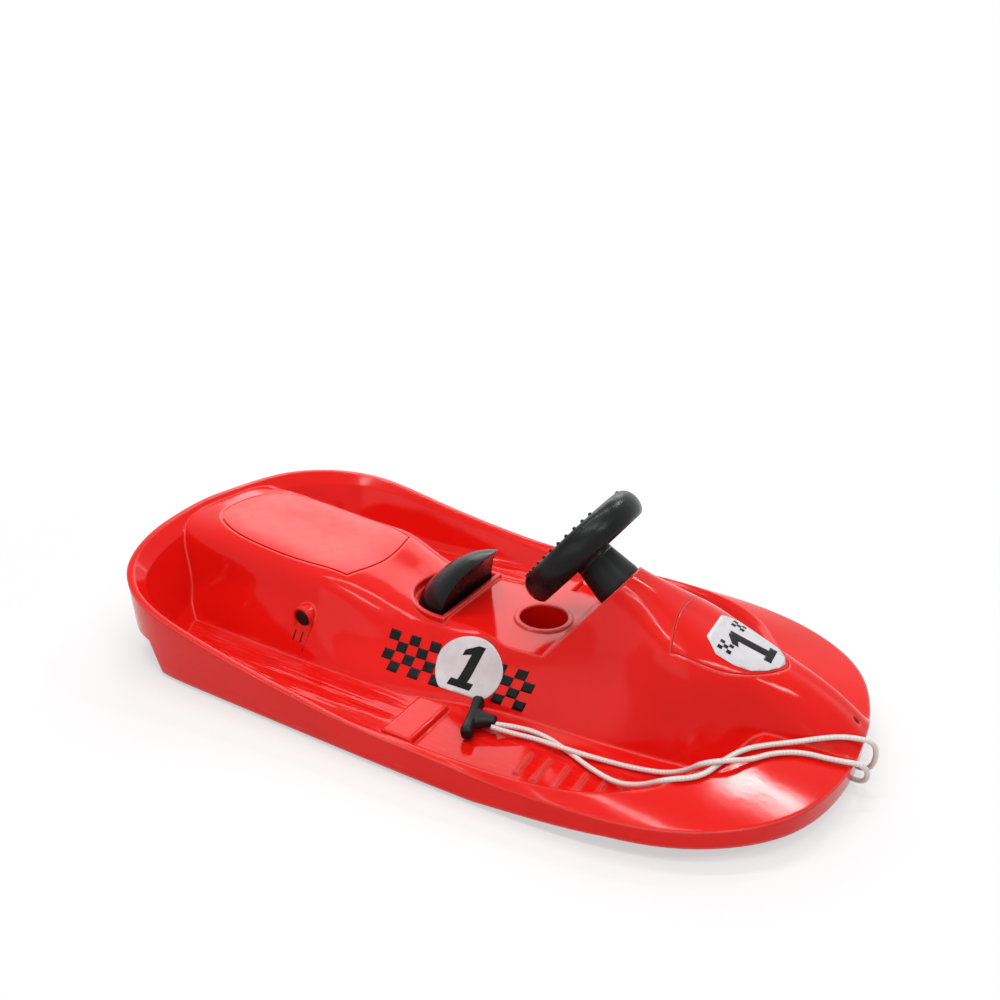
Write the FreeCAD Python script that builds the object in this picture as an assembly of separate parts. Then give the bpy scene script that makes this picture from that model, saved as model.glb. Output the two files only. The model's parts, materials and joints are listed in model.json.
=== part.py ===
import FreeCAD
import Part
import math
import os
from FreeCAD import Placement, Rotation, Vector

# Steering sled. Millimetres, +X to the nose, +Z up, the sled rests on Z = 0.

# Driving sizes of the moulded hull
HULL_LENGTH = 1040.0
HULL_WIDTH = 580.0
REAR_CREST = 146.0
SEAT_TOP = 146.0
COWL_TOP = 193.0
WALL = 4.0
KEEL_HEIGHT = 8.0
KEEL_WIDTH = 16.0
HUMP_TOE = 10.0
HUMP_ROWS = 20
RIM_STATIONS = 36
OVERRUN = 6.0
FIT = 0.05
SEAT_GAP = 0.3

# Skirt, floor and keels
SKIRT_DEPTH = 12.0
REAR_SKIRT_LIFT = 50.0
SKIRT_LOW = 6.0
NOSE_SKIRT_LIFT = 20.0
RIB_HEIGHT = 2.5
RIB_WIDTH = 5.0
RIB_LENGTH = 44.0
RIB_PITCH = 24.0
RIB_COUNT = 7
HEEL_HEIGHT = 9.0
HEEL_LENGTH = 46.0
HEEL_WIDTH = 84.0

# Hood cover and seat pad
COVER_THICK = 3.2
COVER_GAP = 1.0
COVER_LEDGE = 9.0
PAD_THICK = 2.0
PAD_RECESS = 1.7
PAD_GROOVE = 2.5

# Cup holder
CUP_BORE = 67.0
CUP_DEPTH = 52.0
CUP_LIP = 7.0
CUP_LIP_RISE = 2.0

# Steering column, wheel and crank
COLUMN_TILT = 38.0
BOSS_RISE = 78.0
WHEEL_REACH = 64.0
WHEEL_DIAMETER = 183.0
RIM_RADIAL = 28.0
RIM_AXIAL = 41.0
RIM_CHANNEL = 11.0
RIM_CHANNEL_DEPTH = 14.0
RIM_DISH = 4.0
NUB_RADIUS = 2.5
NUB_COUNT = 13
NUB_ARC = 116.0
SPOKE_WIDTH = 30.0
SPOKE_THICK = 13.0
HUB_RADIUS = 27.0
HUB_LENGTH = 24.0
CAP_RADIUS = 24.0
CAP_HEIGHT = 5.0
CAP_SPIGOT = 6.0
BOSS_BASE_RADIUS = 32.0
BOSS_TOP_RADIUS = 27.0
BOSS_LENGTH = 43.4
BOSS_FOOT = 5.0
SHAFT_RADIUS = 6.0
SHAFT_REACH = 178.0
BUSH_WALL = 4.0
BUSH_FLANGE = 4.0
BUSH_FLANGE_THICK = 3.0
BRACKET_THICK = 12.0
BRACKET_DROP = 132.0
BRACKET_WIDTH = 230.0
BRACKET_BELOW = 26.0
BRACKET_RISE = 70.0
COLLAR_WALL = 5.0
COLLAR_LENGTH = 9.0
WHEEL_PIN_RADIUS = 2.5
SCREW_RADIUS = 2.5
SCREW_HEAD_RADIUS = 5.0
SCREW_HEAD = 3.0
SCREW_LENGTH = 22.0
BOSS_SCREW_RING = 22.0
CRANK_LENGTH = 40.0
CRANK_RADIUS = 4.0
BALL_RADIUS = 7.0

# Front steering runner
TILLER = 75.0
FORK_CLEARANCE = 0.35
FORK_WALL = 6.0
FORK_DEPTH = 16.0
FORK_TAIL = 12.0
FORK_FRONT = 20.0
RUDDER_HUB_RADIUS = 16.0
RUDDER_PIN_RADIUS = 7.0
RUDDER_PIN_HEAD = 12.0
RUDDER_PIN_HEAD_THICK = 4.0
RUDDER_PIN_GRIP = 50.0
WASHER_THICK = 2.0
WASHER_RADIUS = 14.0
SKI_WIDTH = 46.0
SKI_THICK = 7.0
SKI_BACK = 56.0
SKI_FLAT = 42.0
SKI_TIP = 78.0
SKI_TIP_RISE = 24.0
SKI_WEB = 10.0
PIVOT_TUBE_WALL = 8.0

# Brake
AXLE_HEIGHT = 63.0
AXLE_RADIUS = 5.0
AXLE_BOSS_RADIUS = 17.0
AXLE_BOSS_PROUD = 4.0
AXLE_BOSS_DEPTH = 34.0
AXLE_LEG_WIDTH = 16.0
AXLE_CAP_RADIUS = 11.5
AXLE_CAP_HEIGHT = 4.0
AXLE_CAP_SPIGOT = 8.0
AXLE_CAP_SPIGOT_RADIUS = 8.0
LEVER_WIDTH = 24.0
LEVER_THICK = 8.0
LEVER_HUB_RADIUS = 13.0
LEVER_HUB_WIDTH = 40.0
LEVER_DIP = 30.0
SPACER_WALL = 3.0
DOME_LENGTH = 72.0
DOME_WIDTH = 136.0
DOME_HEIGHT = 86.0
DOME_LEAN = 27.0
DOME_WALL = 6.0
DOME_SCOOP_RADIUS = 110.0
DOME_SCOOP_DEPTH = 11.0
DOME_PAD = 14.0
RECESS_DEPTH = 8.0
RECESS_MARGIN = 6.0
RECESS_RIM = 6.0
RECESS_RIM_RISE = 5.0
SLOT_MARGIN = 12.0
CLAW_ARM = 168.0
CLAW_WIDTH = 150.0
CLAW_THICK = 5.0
CLAW_HEIGHT = 26.0
CLAW_TIP = 22.0
CLAW_TEETH = 5
RIVET_RADIUS = 3.0
RIVET_HEAD_RADIUS = 5.5
RIVET_HEAD = 2.0

# Tow handle and rope
ROPE_RADIUS = 3.0
TOW_HOLE_RADIUS = 4.5
GRIP_RADIUS = 11.0
NECK_RADIUS = 8.0
SNOUT_RADIUS = 9.5
KNOT_RADIUS = 13.0

# Hand-chosen middle lines: grip from end to end, snout end, rope strands from snout to knot, and knot
grip_points = [(102, -216, 23.4), (79, -139, 29.6)]
snout_point = (119, -176.5, 26)
left_points = [(119, -173, 26), (147, -156, 21), (180, -149.5, 15.6), (216, -162, 15.6), (254, -180, 17.8),
               (291, -189, 18.4), (321, -189, 30), (347, -199, 57), (379, -174, 56), (391, -139, 58.6),
               (406, -108, 60.2), (428, -85, 59.5), (453, -65, 60), (478, -51, 66.4), (503, -36, 68.4),
               (535, -24, 64), (535, -10, 8), (489, 8, 8), (489, 10, 50)]
right_points = [(119, -180, 26), (142, -172, 20.5), (166, -162, 16), (192, -165, 20), (218, -168.5, 23.5),
                (252, -157, 16), (294, -151, 15.6), (332, -141, 16.5), (358, -148, 38), (374, -158, 62),
                (398, -144, 66), (416, -122, 58.5), (435, -96, 58), (462, -76, 57), (495, -69, 54.5),
                (531, -56, 53), (533, -34, 8), (490, -18, 8), (489, -9, 50)]
knot_point = (489, 0.5, 55)
bend_share = 0.45

HALF_LENGTH = HULL_LENGTH / 2
HALF_WIDTH = HULL_WIDTH / 2
FLOOR_TOP = KEEL_HEIGHT + WALL
TILT = math.radians(COLUMN_TILT)
LEAN = math.tan(math.radians(DOME_LEAN))

# Plan outline of one side, as shares of half the length and half the width
outline_shares = [(-1.0, 0.0), (-0.981, 0.32), (-0.935, 0.63), (-0.87, 0.825), (-0.76, 0.955), (-0.55, 1.0),
                  (-0.15, 1.0), (0.2, 0.995), (0.42, 0.98), (0.6, 0.945), (0.72, 0.88), (0.82, 0.775),
                  (0.927, 0.567), (0.982, 0.305), (1.0, 0.0)]

# Rim along the length: place, crest height, fall to the outer edge, crest inset and inner wall run
rim_shares = [(-1.0, 1.0, 0.0, 0.031, 0.214), (-0.88, 0.87, 0.0, 0.031, 0.2),
              (-0.76, 0.767, 0.0, 0.031, 0.18), (-0.62, 0.65, 0.0, 0.031, 0.158),
              (-0.47, 0.54, 0.0, 0.031, 0.138), (-0.18, 0.377, 0.0, 0.031, 0.11),
              (0.0, 0.32, 0.0, 0.031, 0.103), (0.22, 0.322, 0.0, 0.031, 0.103),
              (0.4, 0.334, 0.03, 0.041, 0.107), (0.56, 0.345, 0.085, 0.093, 0.115),
              (0.63, 0.35, 0.1, 0.145, 0.118), (0.7, 0.356, 0.105, 0.193, 0.12),
              (0.79, 0.364, 0.1, 0.269, 0.124), (0.87, 0.372, 0.085, 0.315, 0.124),
              (1.0, 0.384, 0.055, 0.331, 0.124)]

# Seat and waist sections: place, top, then half width and height of three shoulder points, and the foot
body_shares = [(-1.0, 0.955, 0.24, 0.948, 0.362, 0.863, 0.441, 0.514, 0.552),
               (-0.846, 0.945, 0.276, 0.94, 0.379, 0.836, 0.438, 0.52, 0.569),
               (-0.615, 0.87, 0.297, 0.865, 0.379, 0.76, 0.428, 0.575, 0.576),
               (-0.365, 0.785, 0.297, 0.78, 0.372, 0.69, 0.428, 0.52, 0.583),
               (-0.315, 0.755, 0.285, 0.748, 0.366, 0.65, 0.43, 0.46, 0.583),
               (-0.212, 0.612, 0.255, 0.6, 0.345, 0.485, 0.434, 0.301, 0.579),
               (-0.038, 0.589, 0.248, 0.58, 0.338, 0.466, 0.421, 0.288, 0.555),
               (0.115, 0.62, 0.241, 0.612, 0.331, 0.46, 0.397, 0.274, 0.479)]

# Cowl and hood sections, in the same order
cowl_shares = [(0.269, 1.12, 0.117, 1.06, 0.2, 0.88, 0.29, 0.518, 0.441),
               (0.446, 0.965, 0.11, 0.91, 0.186, 0.777, 0.276, 0.492, 0.428),
               (0.581, 0.798, 0.155, 0.772, 0.248, 0.674, 0.317, 0.415, 0.407),
               (0.719, 0.663, 0.117, 0.648, 0.186, 0.58, 0.255, 0.342, 0.359),
               (0.806, 0.596, 0.09, 0.583, 0.152, 0.513, 0.207, 0.311, 0.29),
               (0.885, 0.518, 0.083, 0.503, 0.138, 0.43, 0.179, 0.311, 0.248),
               (0.942, 0.394, 0.076, 0.383, 0.124, 0.342, 0.166, 0.285, 0.228),
               (1.0, 0.269, 0.069, 0.264, 0.117, 0.244, 0.159, 0.207, 0.214)]

DASH_X_share = 0.272
terrace_start_share = -0.038
rim_wall_shares = [(1.0, 0.0), (0.75, 0.156), (0.25, 0.844), (0.0, 1.0)]
terrace_share = 0.589
axle_share = -0.417
brake_share = -0.052
cup_share = 0.187
keel_shares = (-0.66, 0.6)
keel_y_share = 0.73
keel_chamfer_share = 0.8
floor_y_share = 0.71
heel_share = 0.0
rib_start_share = 0.34
tow_hole_share = 0.972
web_end_share = 0.9
lever_pad_share = 4.0
lever_half_share = 0.75
handle_screw_shares = (2.0, 3.2)
tooth_shares = (0.3, 0.7)
skirt_step_shares = (-0.72, -0.68)
nose_lift_shares = (0.3, 0.6)
cover_shares = [(0.554, 0.0), (0.575, 0.243), (0.66, 0.212), (0.74, 0.152), (0.79, 0.08), (0.81, 0.0)]
pad_shares = [(-0.331, 0.0), (-0.354, 0.262), (-0.51, 0.293), (-0.655, 0.297), (-0.79, 0.265),
              (-0.875, 0.172), (-0.908, 0.0)]


def smooth_curve(points):
    """Smooth curve through (place, value) points that never overshoots them."""
    xs = [p[0] for p in points]
    ys = [p[1] for p in points]
    steps = [b - a for a, b in zip(xs, xs[1:])]
    rises = [(b - a) / h for a, b, h in zip(ys, ys[1:], steps)]
    slopes = [0.0] * len(xs)
    for i in range(1, len(xs) - 1):
        before, after = rises[i - 1], rises[i]
        if before * after > 0:
            low, high = 2 * steps[i] + steps[i - 1], steps[i] + 2 * steps[i - 1]
            slopes[i] = (low + high) / (low / before + high / after)

    def value(x):
        if x <= xs[0]:
            return ys[0]
        if x >= xs[-1]:
            return ys[-1]
        i = max(k for k in range(len(steps)) if xs[k] <= x)
        h = steps[i]
        t = (x - xs[i]) / h
        start = (1 + 2 * t) * (1 - t) ** 2 * ys[i] + t * (1 - t) ** 2 * h * slopes[i]
        return start + t * t * (3 - 2 * t) * ys[i + 1] + t * t * (t - 1) * h * slopes[i + 1]
    return value


def columns(table):
    """One smooth curve per column of a table of shares, against its first column."""
    return [smooth_curve([(row[0], row[k]) for row in table]) for k in range(1, len(table[0]))]


def mirrored(points):
    """Closed loop of plan points from the points of its +Y side."""
    upper = [Vector(x * HALF_LENGTH, y * HALF_WIDTH, 0) for x, y in points]
    lower = [Vector(p.x, -p.y, 0) for p in upper[1:-1]]
    return upper + lower[::-1]


def closed_curve(points):
    curve = Part.BSplineCurve()
    curve.interpolate(Points=points, PeriodicFlag=True)
    return curve


def offset_loop(curve, inset, count):
    """Plan points of a closed curve moved inwards by a distance."""
    points = curve.discretize(Number=count + 1)[:-1]
    moved = []
    for i, p in enumerate(points):
        along = points[(i + 1) % count] - points[i - 1]
        inward = Vector(-along.y, along.x, 0).normalize()
        if inward.dot(p) > 0:
            inward = inward * -1
        moved.append(p + inward * inset)
    return closed_curve(moved)


def halves(curve):
    """Wire of a closed curve in two edges, one on each side of the middle line."""
    first, last = curve.FirstParameter, curve.LastParameter
    middle = (first + last) / 2
    edges = [curve.toShape(first, middle), curve.toShape(middle, last)]
    return Part.Wire(edges)


def prism(curve, low, high):
    face = Part.Face(halves(curve))
    face.translate(Vector(0, 0, low))
    return face.extrude(Vector(0, 0, high - low))


def box(x0, x1, y0, y1, z0, z1):
    return Part.makeBox(x1 - x0, y1 - y0, z1 - z0, Vector(x0, y0, z0))


def rod(start, direction, radius, length):
    return Part.makeCylinder(radius, length, start, direction)


def tube(start, direction, outer, inner, length):
    body = rod(start, direction, outer, length)
    unit = Vector(direction).normalize()
    return body.cut(rod(start - unit * OVERRUN, direction, inner, length + 2 * OVERRUN))


OUTLINE = closed_curve(mirrored(outline_shares))
RIM = columns(rim_shares)
TERRACE = terrace_share * SEAT_TOP
DASH_X = DASH_X_share * HALF_LENGTH
DEEP = REAR_CREST + COWL_TOP
DOWN = Vector(0, 0, -1)
UP = Vector(0, 0, 1)
ACROSS = Vector(0, 1, 0)


def hump_table():
    """Sections of seat, waist, cowl and hood, in millimetres."""
    rows = []
    for shares, height in ((body_shares, SEAT_TOP), (cowl_shares, COWL_TOP)):
        for place, top, w1, z1, w2, z2, w3, z3, foot in shares:
            rows.append((place, top * height, w1 * HALF_WIDTH, z1 * height, w2 * HALF_WIDTH, z2 * height,
                         w3 * HALF_WIDTH, z3 * height, foot * HALF_WIDTH))
    return rows


HUMP = columns(hump_table())


def offset_path(points, distance):
    """Flat path moved to its left by a distance."""
    moved = []
    last = len(points) - 1
    for i, (a, b) in enumerate(points):
        normals = []
        for j in (i - 1, i):
            if 0 <= j < last:
                da, db = points[j + 1][0] - points[j][0], points[j + 1][1] - points[j][1]
                size = math.hypot(da, db)
                normals.append((-db / size, da / size))
        na = sum(n[0] for n in normals) / len(normals)
        nb = sum(n[1] for n in normals) / len(normals)
        square = na * na + nb * nb
        moved.append((a + distance * na / square, b + distance * nb / square))
    return moved


def through(points, places, closed):
    """Poles, knots and multiplicities of a smooth curve through points at given places."""
    curve = Part.BSplineCurve()
    curve.interpolate(Points=points, Parameters=places, PeriodicFlag=closed)
    return curve.getPoles(), curve.getKnots(), curve.getMultiplicities()


def hump_rows(count, sink):
    """Sections of the hump from the rear to the nose, moved inwards by a distance."""
    reach = 1 + OVERRUN / HALF_LENGTH
    rows = []
    for i in range(count):
        station = reach * (2 * i / (count - 1) - 1)
        top, w1, z1, w2, z2, w3, z3, foot = [f(station) for f in HUMP]
        half = [(w1, z1), (w2, z2), (w3, z3), (foot, FLOOR_TOP), (foot + HUMP_TOE, -2 * OVERRUN)]
        path = [(-y, z) for y, z in half[::-1]] + [(0, top)] + half
        path = offset_path(path, -sink)
        rows.append([Vector(station * HALF_LENGTH, y, z) for y, z in path])
    return rows


def smooth_face(rows):
    """Smooth face through rows of points along the length."""
    spread = [0.0]
    for j in range(len(rows[0]) - 1):
        spread.append(spread[-1] + sum((row[j + 1] - row[j]).Length for row in rows) / len(rows))
    lines = []
    for row in rows:
        poles, v_knots, v_mults = through(row, spread, False)
        lines.append(poles)
    places = [row[0].x for row in rows]
    nets = []
    for k in range(len(lines[0])):
        poles, u_knots, u_mults = through([line[k] for line in lines], places, False)
        nets.append(poles)
    net = [[strip[i] for strip in nets] for i in range(len(nets[0]))]
    surface = Part.BSplineSurface()
    surface.buildFromPolesMultsKnots(net, u_mults, v_mults, u_knots, v_knots, False, False, 3, 3)
    return surface.toShape()


def hump_hollow(sink):
    """Inside of the hump, some way in, lofted between straight-sided sections."""
    wires = []
    for row in hump_rows(HUMP_ROWS, sink):
        low = [Vector(p.x, p.y, -DEEP) for p in (row[-1], row[0])]
        loop = row + low
        wires.append(Part.makePolygon(loop + loop[:1]))
    return Part.makeLoft(wires, True, True).cut(notch(sink))


def rim_profile(station):
    """Path from the footwell floor over the rim's crest to outside the outline, as inset and height."""
    crest, fall, inset, run = [f(station) for f in RIM]
    crest *= REAR_CREST
    fall *= REAR_CREST
    inset *= HALF_WIDTH
    run *= HALF_WIDTH
    wall = [(inset + run * t, FLOOR_TOP + (crest - FLOOR_TOP) * h) for t, h in rim_wall_shares]
    return wall + [(-inset, crest - 2 * fall), (-inset - OVERRUN, DEEP)]


def footwell_plug(sink):
    """Space inside the rim and above the floor, grown by a distance."""
    points = OUTLINE.discretize(Number=RIM_STATIONS + 1)[:-1]
    loops = []
    for i, p in enumerate(points):
        along = points[(i + 1) % RIM_STATIONS] - points[i - 1]
        inward = Vector(-along.y, along.x, 0).normalize()
        if inward.dot(p) > 0:
            inward = inward * -1
        path = offset_path(rim_profile(p.x / HALF_LENGTH), sink)
        path[0] = (path[0][0], FLOOR_TOP - sink)
        path[-1] = (path[-1][0], DEEP)
        loops.append([p + inward * d + UP * z for d, z in path])
    wires = [halves(closed_curve([loop[k] for loop in loops])) for k in range(len(loops[0]))]
    return Part.makeLoft(wires, True, True)


def notch(sink):
    """Space above the cup terrace and behind the dash face, moved into the hull by a distance."""
    low, lean = TERRACE - sink, math.tan(TILT)
    start = terrace_start_share * HALF_LENGTH
    foot = DASH_X + sink / math.cos(TILT) - sink * lean
    points = [Vector(start, 0, low), Vector(foot, 0, low), Vector(foot + (DEEP - low) * lean, 0, DEEP),
              Vector(start, 0, DEEP)]
    side = Part.Face(Part.makePolygon(points + points[:1]))
    side.translate(Vector(0, -HALF_WIDTH, 0))
    return side.extrude(ACROSS * HULL_WIDTH)


HUMP_FACE = smooth_face(hump_rows(HUMP_ROWS, 0))
HUMP_SOLID = HUMP_FACE.extrude(DOWN * DEEP).cut(notch(0))

# Steering axis: local Z runs up the column from the dash face to the rider
DASH_POINT = Vector(DASH_X + BOSS_RISE * math.tan(TILT), 0, TERRACE + BOSS_RISE)
COLUMN = Placement(DASH_POINT, Rotation(ACROSS, COLUMN_TILT - 90))
BALL = COLUMN.multVec(Vector(-CRANK_LENGTH, 0, -SHAFT_REACH))
PIVOT_X = BALL.x + TILLER
FORK_LOW = BALL.z - FORK_DEPTH / 2
FORK_HIGH = FORK_LOW + FORK_DEPTH
HUB_LOW = WHEEL_REACH - HUB_LENGTH + RIM_DISH
BUSH_RADIUS = SHAFT_RADIUS + FIT + BUSH_WALL
PIVOT_TUBE_LOW = FORK_HIGH + WASHER_THICK + 2 * SEAT_GAP

# Brake places
AXLE_X = axle_share * HALF_LENGTH
DOME_FRONT = brake_share * HALF_LENGTH
RECESS_FLOOR = TERRACE - RECESS_DEPTH
DOME_BASE = RECESS_FLOOR + SEAT_GAP
DOME_MID = DOME_FRONT - DOME_LENGTH / 2
PAD_TOP = DOME_BASE + DOME_PAD
WEB_X = DOME_MID - LEVER_THICK - DOME_PAD / 2
CLAW_X = AXLE_X - CLAW_ARM
CUP_X = cup_share * HALF_LENGTH


def wall_y(x, z):
    """Half width of the hump's side wall at a height."""
    ray = Part.makeLine(Vector(x, 0, z), Vector(x, HALF_WIDTH, z))
    return ray.common(HUMP_SOLID).BoundBox.YMax


AXLE_FACE = wall_y(AXLE_X, AXLE_HEIGHT) + AXLE_BOSS_PROUD


def on_column(shape):
    shape.Placement = COLUMN.multiply(shape.Placement)
    return shape


def recess_prism(grow, low, high):
    """Upright prism with the brake handle's plan, half an oval with a straight front, grown by a margin."""
    length, half = DOME_LENGTH + grow, DOME_WIDTH / 2 + grow
    scale = FreeCAD.Matrix()
    scale.scale(length, half, high - low)
    oval = Part.makeCylinder(1, 1).transformGeometry(scale)
    oval.translate(Vector(DOME_FRONT, 0, low))
    rear = oval.common(box(DOME_FRONT - length - OVERRUN, DOME_FRONT, -half, half, low, high))
    return rear.fuse(box(DOME_FRONT, DOME_FRONT + grow, -half, half, low, high))


def plan_wire(shares, inset):
    """Closed plan wire with a rounded rear or front edge between two corners, moved inwards by a distance."""
    points = [Vector(x * HALF_LENGTH, y * HALF_WIDTH, 0) for x, y in shares]
    centre = Vector(sum(p.x for p in points) / len(points), 0, 0)
    moved = []
    for i, p in enumerate(points):
        away = p - centre
        if i == 0 or i == len(points) - 1:
            moved.append(p - Vector(inset * away.x / abs(away.x), 0, 0))
        else:
            moved.append(p - Vector(inset * away.x / away.Length, inset, 0))
    corner = moved[1]
    flip = Vector(corner.x, -corner.y, 0)
    short_edge = Part.BSplineCurve()
    short_edge.interpolate([corner, moved[0], flip])
    long_edge = Part.BSplineCurve()
    lower = [Vector(p.x, -p.y, 0) for p in moved[1:-1]]
    long_edge.interpolate(lower + [moved[-1]] + moved[-2:0:-1])
    return Part.Wire([short_edge.toShape(), long_edge.toShape()])


def plan_prism(shares, inset):
    face = Part.Face(plan_wire(shares, inset))
    return face.extrude(UP * DEEP)


def skirt_cut():
    """What is taken off below the skirt's lower edge, at the rim only."""
    step_back, step_front = [s * HALF_LENGTH for s in skirt_step_shares]
    lift_back, lift_front = [s * HALF_LENGTH for s in nose_lift_shares]
    far = HALF_LENGTH + OVERRUN
    points = [Vector(-far, 0, -OVERRUN), Vector(-far, 0, REAR_SKIRT_LIFT),
              Vector(step_back, 0, REAR_SKIRT_LIFT), Vector(step_front, 0, SKIRT_LOW),
              Vector(lift_back, 0, SKIRT_LOW), Vector(lift_front, 0, NOSE_SKIRT_LIFT),
              Vector(far, 0, NOSE_SKIRT_LIFT), Vector(far, 0, -OVERRUN)]
    side = Part.Face(Part.makePolygon(points + points[:1]))
    side.translate(Vector(0, -HULL_WIDTH, 0))
    below = side.extrude(ACROSS * (2 * HULL_WIDTH))
    inner = prism(offset_loop(OUTLINE, SKIRT_DEPTH, RIM_STATIONS), -2 * OVERRUN, DEEP)
    return below.cut(inner)


def keels():
    bars = []
    for side in (-1, 1):
        y = side * keel_y_share * HALF_WIDTH
        start, end = [s * HALF_LENGTH for s in keel_shares]
        bar = box(start, end, y - KEEL_WIDTH / 2, y + KEEL_WIDTH / 2, 0, KEEL_HEIGHT + WALL / 2)
        ends = [e for e in bar.Edges if e.BoundBox.YLength > 0 and e.BoundBox.ZMax < KEEL_HEIGHT / 2]
        ends = [e for e in ends if e.BoundBox.XLength < FIT]
        bars.append(bar.makeChamfer(KEEL_HEIGHT * keel_chamfer_share, ends))
    return bars


def floor_ribs():
    """Heel stops and cross ribs on both footwell floors."""
    bars = []
    low = FLOOR_TOP - WALL / 2
    heel_x = heel_share * HALF_LENGTH
    for side in (-1, 1):
        y = side * floor_y_share * HALF_WIDTH
        heel = box(heel_x, heel_x + HEEL_LENGTH, y - HEEL_WIDTH / 2, y + HEEL_WIDTH / 2, low,
                   FLOOR_TOP + HEEL_HEIGHT)
        lip = [e for e in heel.Edges if e.BoundBox.ZMin > FLOOR_TOP and e.BoundBox.YLength > FIT]
        bars.append(heel.makeFillet(HEEL_HEIGHT / 2, lip))
        for i in range(RIB_COUNT):
            x = rib_start_share * HALF_LENGTH + i * RIB_PITCH
            rib = box(x, x + RIB_WIDTH, y - RIB_LENGTH / 2, y + RIB_LENGTH / 2, low, FLOOR_TOP + RIB_HEIGHT)
            bars.append(rib)
    return bars


def axle_bosses():
    bosses = []
    for side in (-1, 1):
        inner = Vector(AXLE_X, side * (AXLE_FACE - AXLE_BOSS_DEPTH), AXLE_HEIGHT)
        bosses.append(rod(inner, ACROSS * side, AXLE_BOSS_RADIUS, AXLE_BOSS_DEPTH))
        y0, y1 = sorted((side * (AXLE_FACE - AXLE_BOSS_DEPTH / 2), side * AXLE_FACE))
        half = AXLE_LEG_WIDTH / 2
        bosses.append(box(AXLE_X - half, AXLE_X + half, y0, y1, FLOOR_TOP, AXLE_HEIGHT))
    return bosses


def hull_ribs():
    """Bulkhead for the column's lower bush, and the runner's pivot tube with its web, under the hood."""
    plate = Part.makeBox(BRACKET_BELOW + BRACKET_RISE, BRACKET_WIDTH, BRACKET_THICK,
                         Vector(-BRACKET_BELOW, -BRACKET_WIDTH / 2, -BRACKET_DROP - BRACKET_THICK))
    pivot = rod(Vector(PIVOT_X, 0, PIVOT_TUBE_LOW), UP, RUDDER_PIN_RADIUS + PIVOT_TUBE_WALL, DEEP)
    web = box(PIVOT_X, web_end_share * HALF_LENGTH, -WALL, WALL, PIVOT_TUBE_LOW, DEEP)
    core = hump_hollow(WALL / 2)
    pocket = HUMP_FACE.translated(DOWN * (COVER_THICK + 2 * SEAT_GAP)).extrude(UP * DEEP)
    pocket = pocket.common(plan_prism(cover_shares, -SEAT_GAP))
    return [rib.common(core).cut(pocket) for rib in (on_column(plate), pivot, web)]


def hull():
    outer = prism(OUTLINE, 0, DEEP).cut(footwell_plug(0))
    outer = outer.fuse(HUMP_SOLID.common(prism(OUTLINE, 0, DEEP)))
    inset = offset_loop(OUTLINE, WALL, RIM_STATIONS)
    inner = prism(inset, -OVERRUN, DEEP).cut(footwell_plug(WALL))
    inner = inner.fuse(hump_hollow(WALL).common(prism(inset, -OVERRUN, DEEP)))
    body = outer.cut(inner).cut(skirt_cut())
    ledge = HUMP_FACE.translated(DOWN * (COVER_THICK + SEAT_GAP)).extrude(DOWN * WALL)
    ledge = ledge.common(plan_prism(cover_shares, -COVER_LEDGE)).cut(plan_prism(cover_shares, COVER_LEDGE))
    pad_bed = HUMP_FACE.translated(DOWN * PAD_RECESS).extrude(DOWN * (2 * WALL))
    pad_bed = pad_bed.common(plan_prism(pad_shares, -PAD_GROOVE))
    cup = rod(Vector(CUP_X, 0, TERRACE + CUP_LIP_RISE), DOWN, CUP_BORE / 2 + WALL, CUP_DEPTH + WALL)
    lip = rod(Vector(CUP_X, 0, TERRACE - WALL / 2), UP, CUP_BORE / 2 + CUP_LIP, CUP_LIP_RISE + WALL / 2)
    collar = recess_prism(RECESS_MARGIN + RECESS_RIM, RECESS_FLOOR - WALL, TERRACE + RECESS_RIM_RISE)
    solids = keels() + floor_ribs() + axle_bosses() + hull_ribs() + [ledge, pad_bed, cup, lip, collar]
    body = body.cut(plan_prism(cover_shares, 0))
    body = body.multiFuse(solids)
    cuts = [rod(Vector(CUP_X, 0, TERRACE + 2 * OVERRUN), DOWN, CUP_BORE / 2, CUP_DEPTH + 2 * OVERRUN)]
    cuts.append(recess_prism(RECESS_MARGIN, RECESS_FLOOR, DEEP))
    cuts.append(box(WEB_X - SLOT_MARGIN, WEB_X + LEVER_THICK + SLOT_MARGIN, -LEVER_WIDTH / 2 - WALL,
                    LEVER_WIDTH / 2 + WALL, RECESS_FLOOR - DOME_HEIGHT / 3, RECESS_FLOOR + OVERRUN))
    recess = HUMP_FACE.translated(DOWN * PAD_RECESS).extrude(UP * (2 * OVERRUN))
    cuts.append(recess.common(plan_prism(pad_shares, -PAD_GROOVE)))
    for side in (-1, 1):
        face = Vector(AXLE_X, side * (AXLE_FACE + OVERRUN), AXLE_HEIGHT)
        cuts.append(rod(face, ACROSS * -side, AXLE_CAP_RADIUS + SEAT_GAP, OVERRUN))
        cuts.append(rod(face, ACROSS * -side, AXLE_CAP_SPIGOT_RADIUS + FIT, AXLE_CAP_SPIGOT + OVERRUN))
        cuts.append(rod(face, ACROSS * -side, AXLE_RADIUS + FIT, AXLE_BOSS_DEPTH + 2 * OVERRUN))
    cuts.append(rod(Vector(PIVOT_X, 0, PIVOT_TUBE_LOW - OVERRUN), UP, RUDDER_PIN_RADIUS + FIT,
                    RUDDER_PIN_GRIP + OVERRUN))
    cuts.append(on_column(rod(Vector(0, 0, OVERRUN), DOWN, BUSH_RADIUS + FIT, SHAFT_REACH + OVERRUN)))
    for spot in boss_screw_spots():
        hole = rod(spot + Vector(0, 0, OVERRUN), DOWN, SCREW_RADIUS + FIT, WALL + 2 * OVERRUN)
        cuts.append(on_column(hole))
    cuts.append(rod(Vector(tow_hole_share * HALF_LENGTH, 0, DEEP), DOWN, TOW_HOLE_RADIUS, DEEP))
    for cutter in cuts:
        body = body.cut(cutter)
    return body


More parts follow.
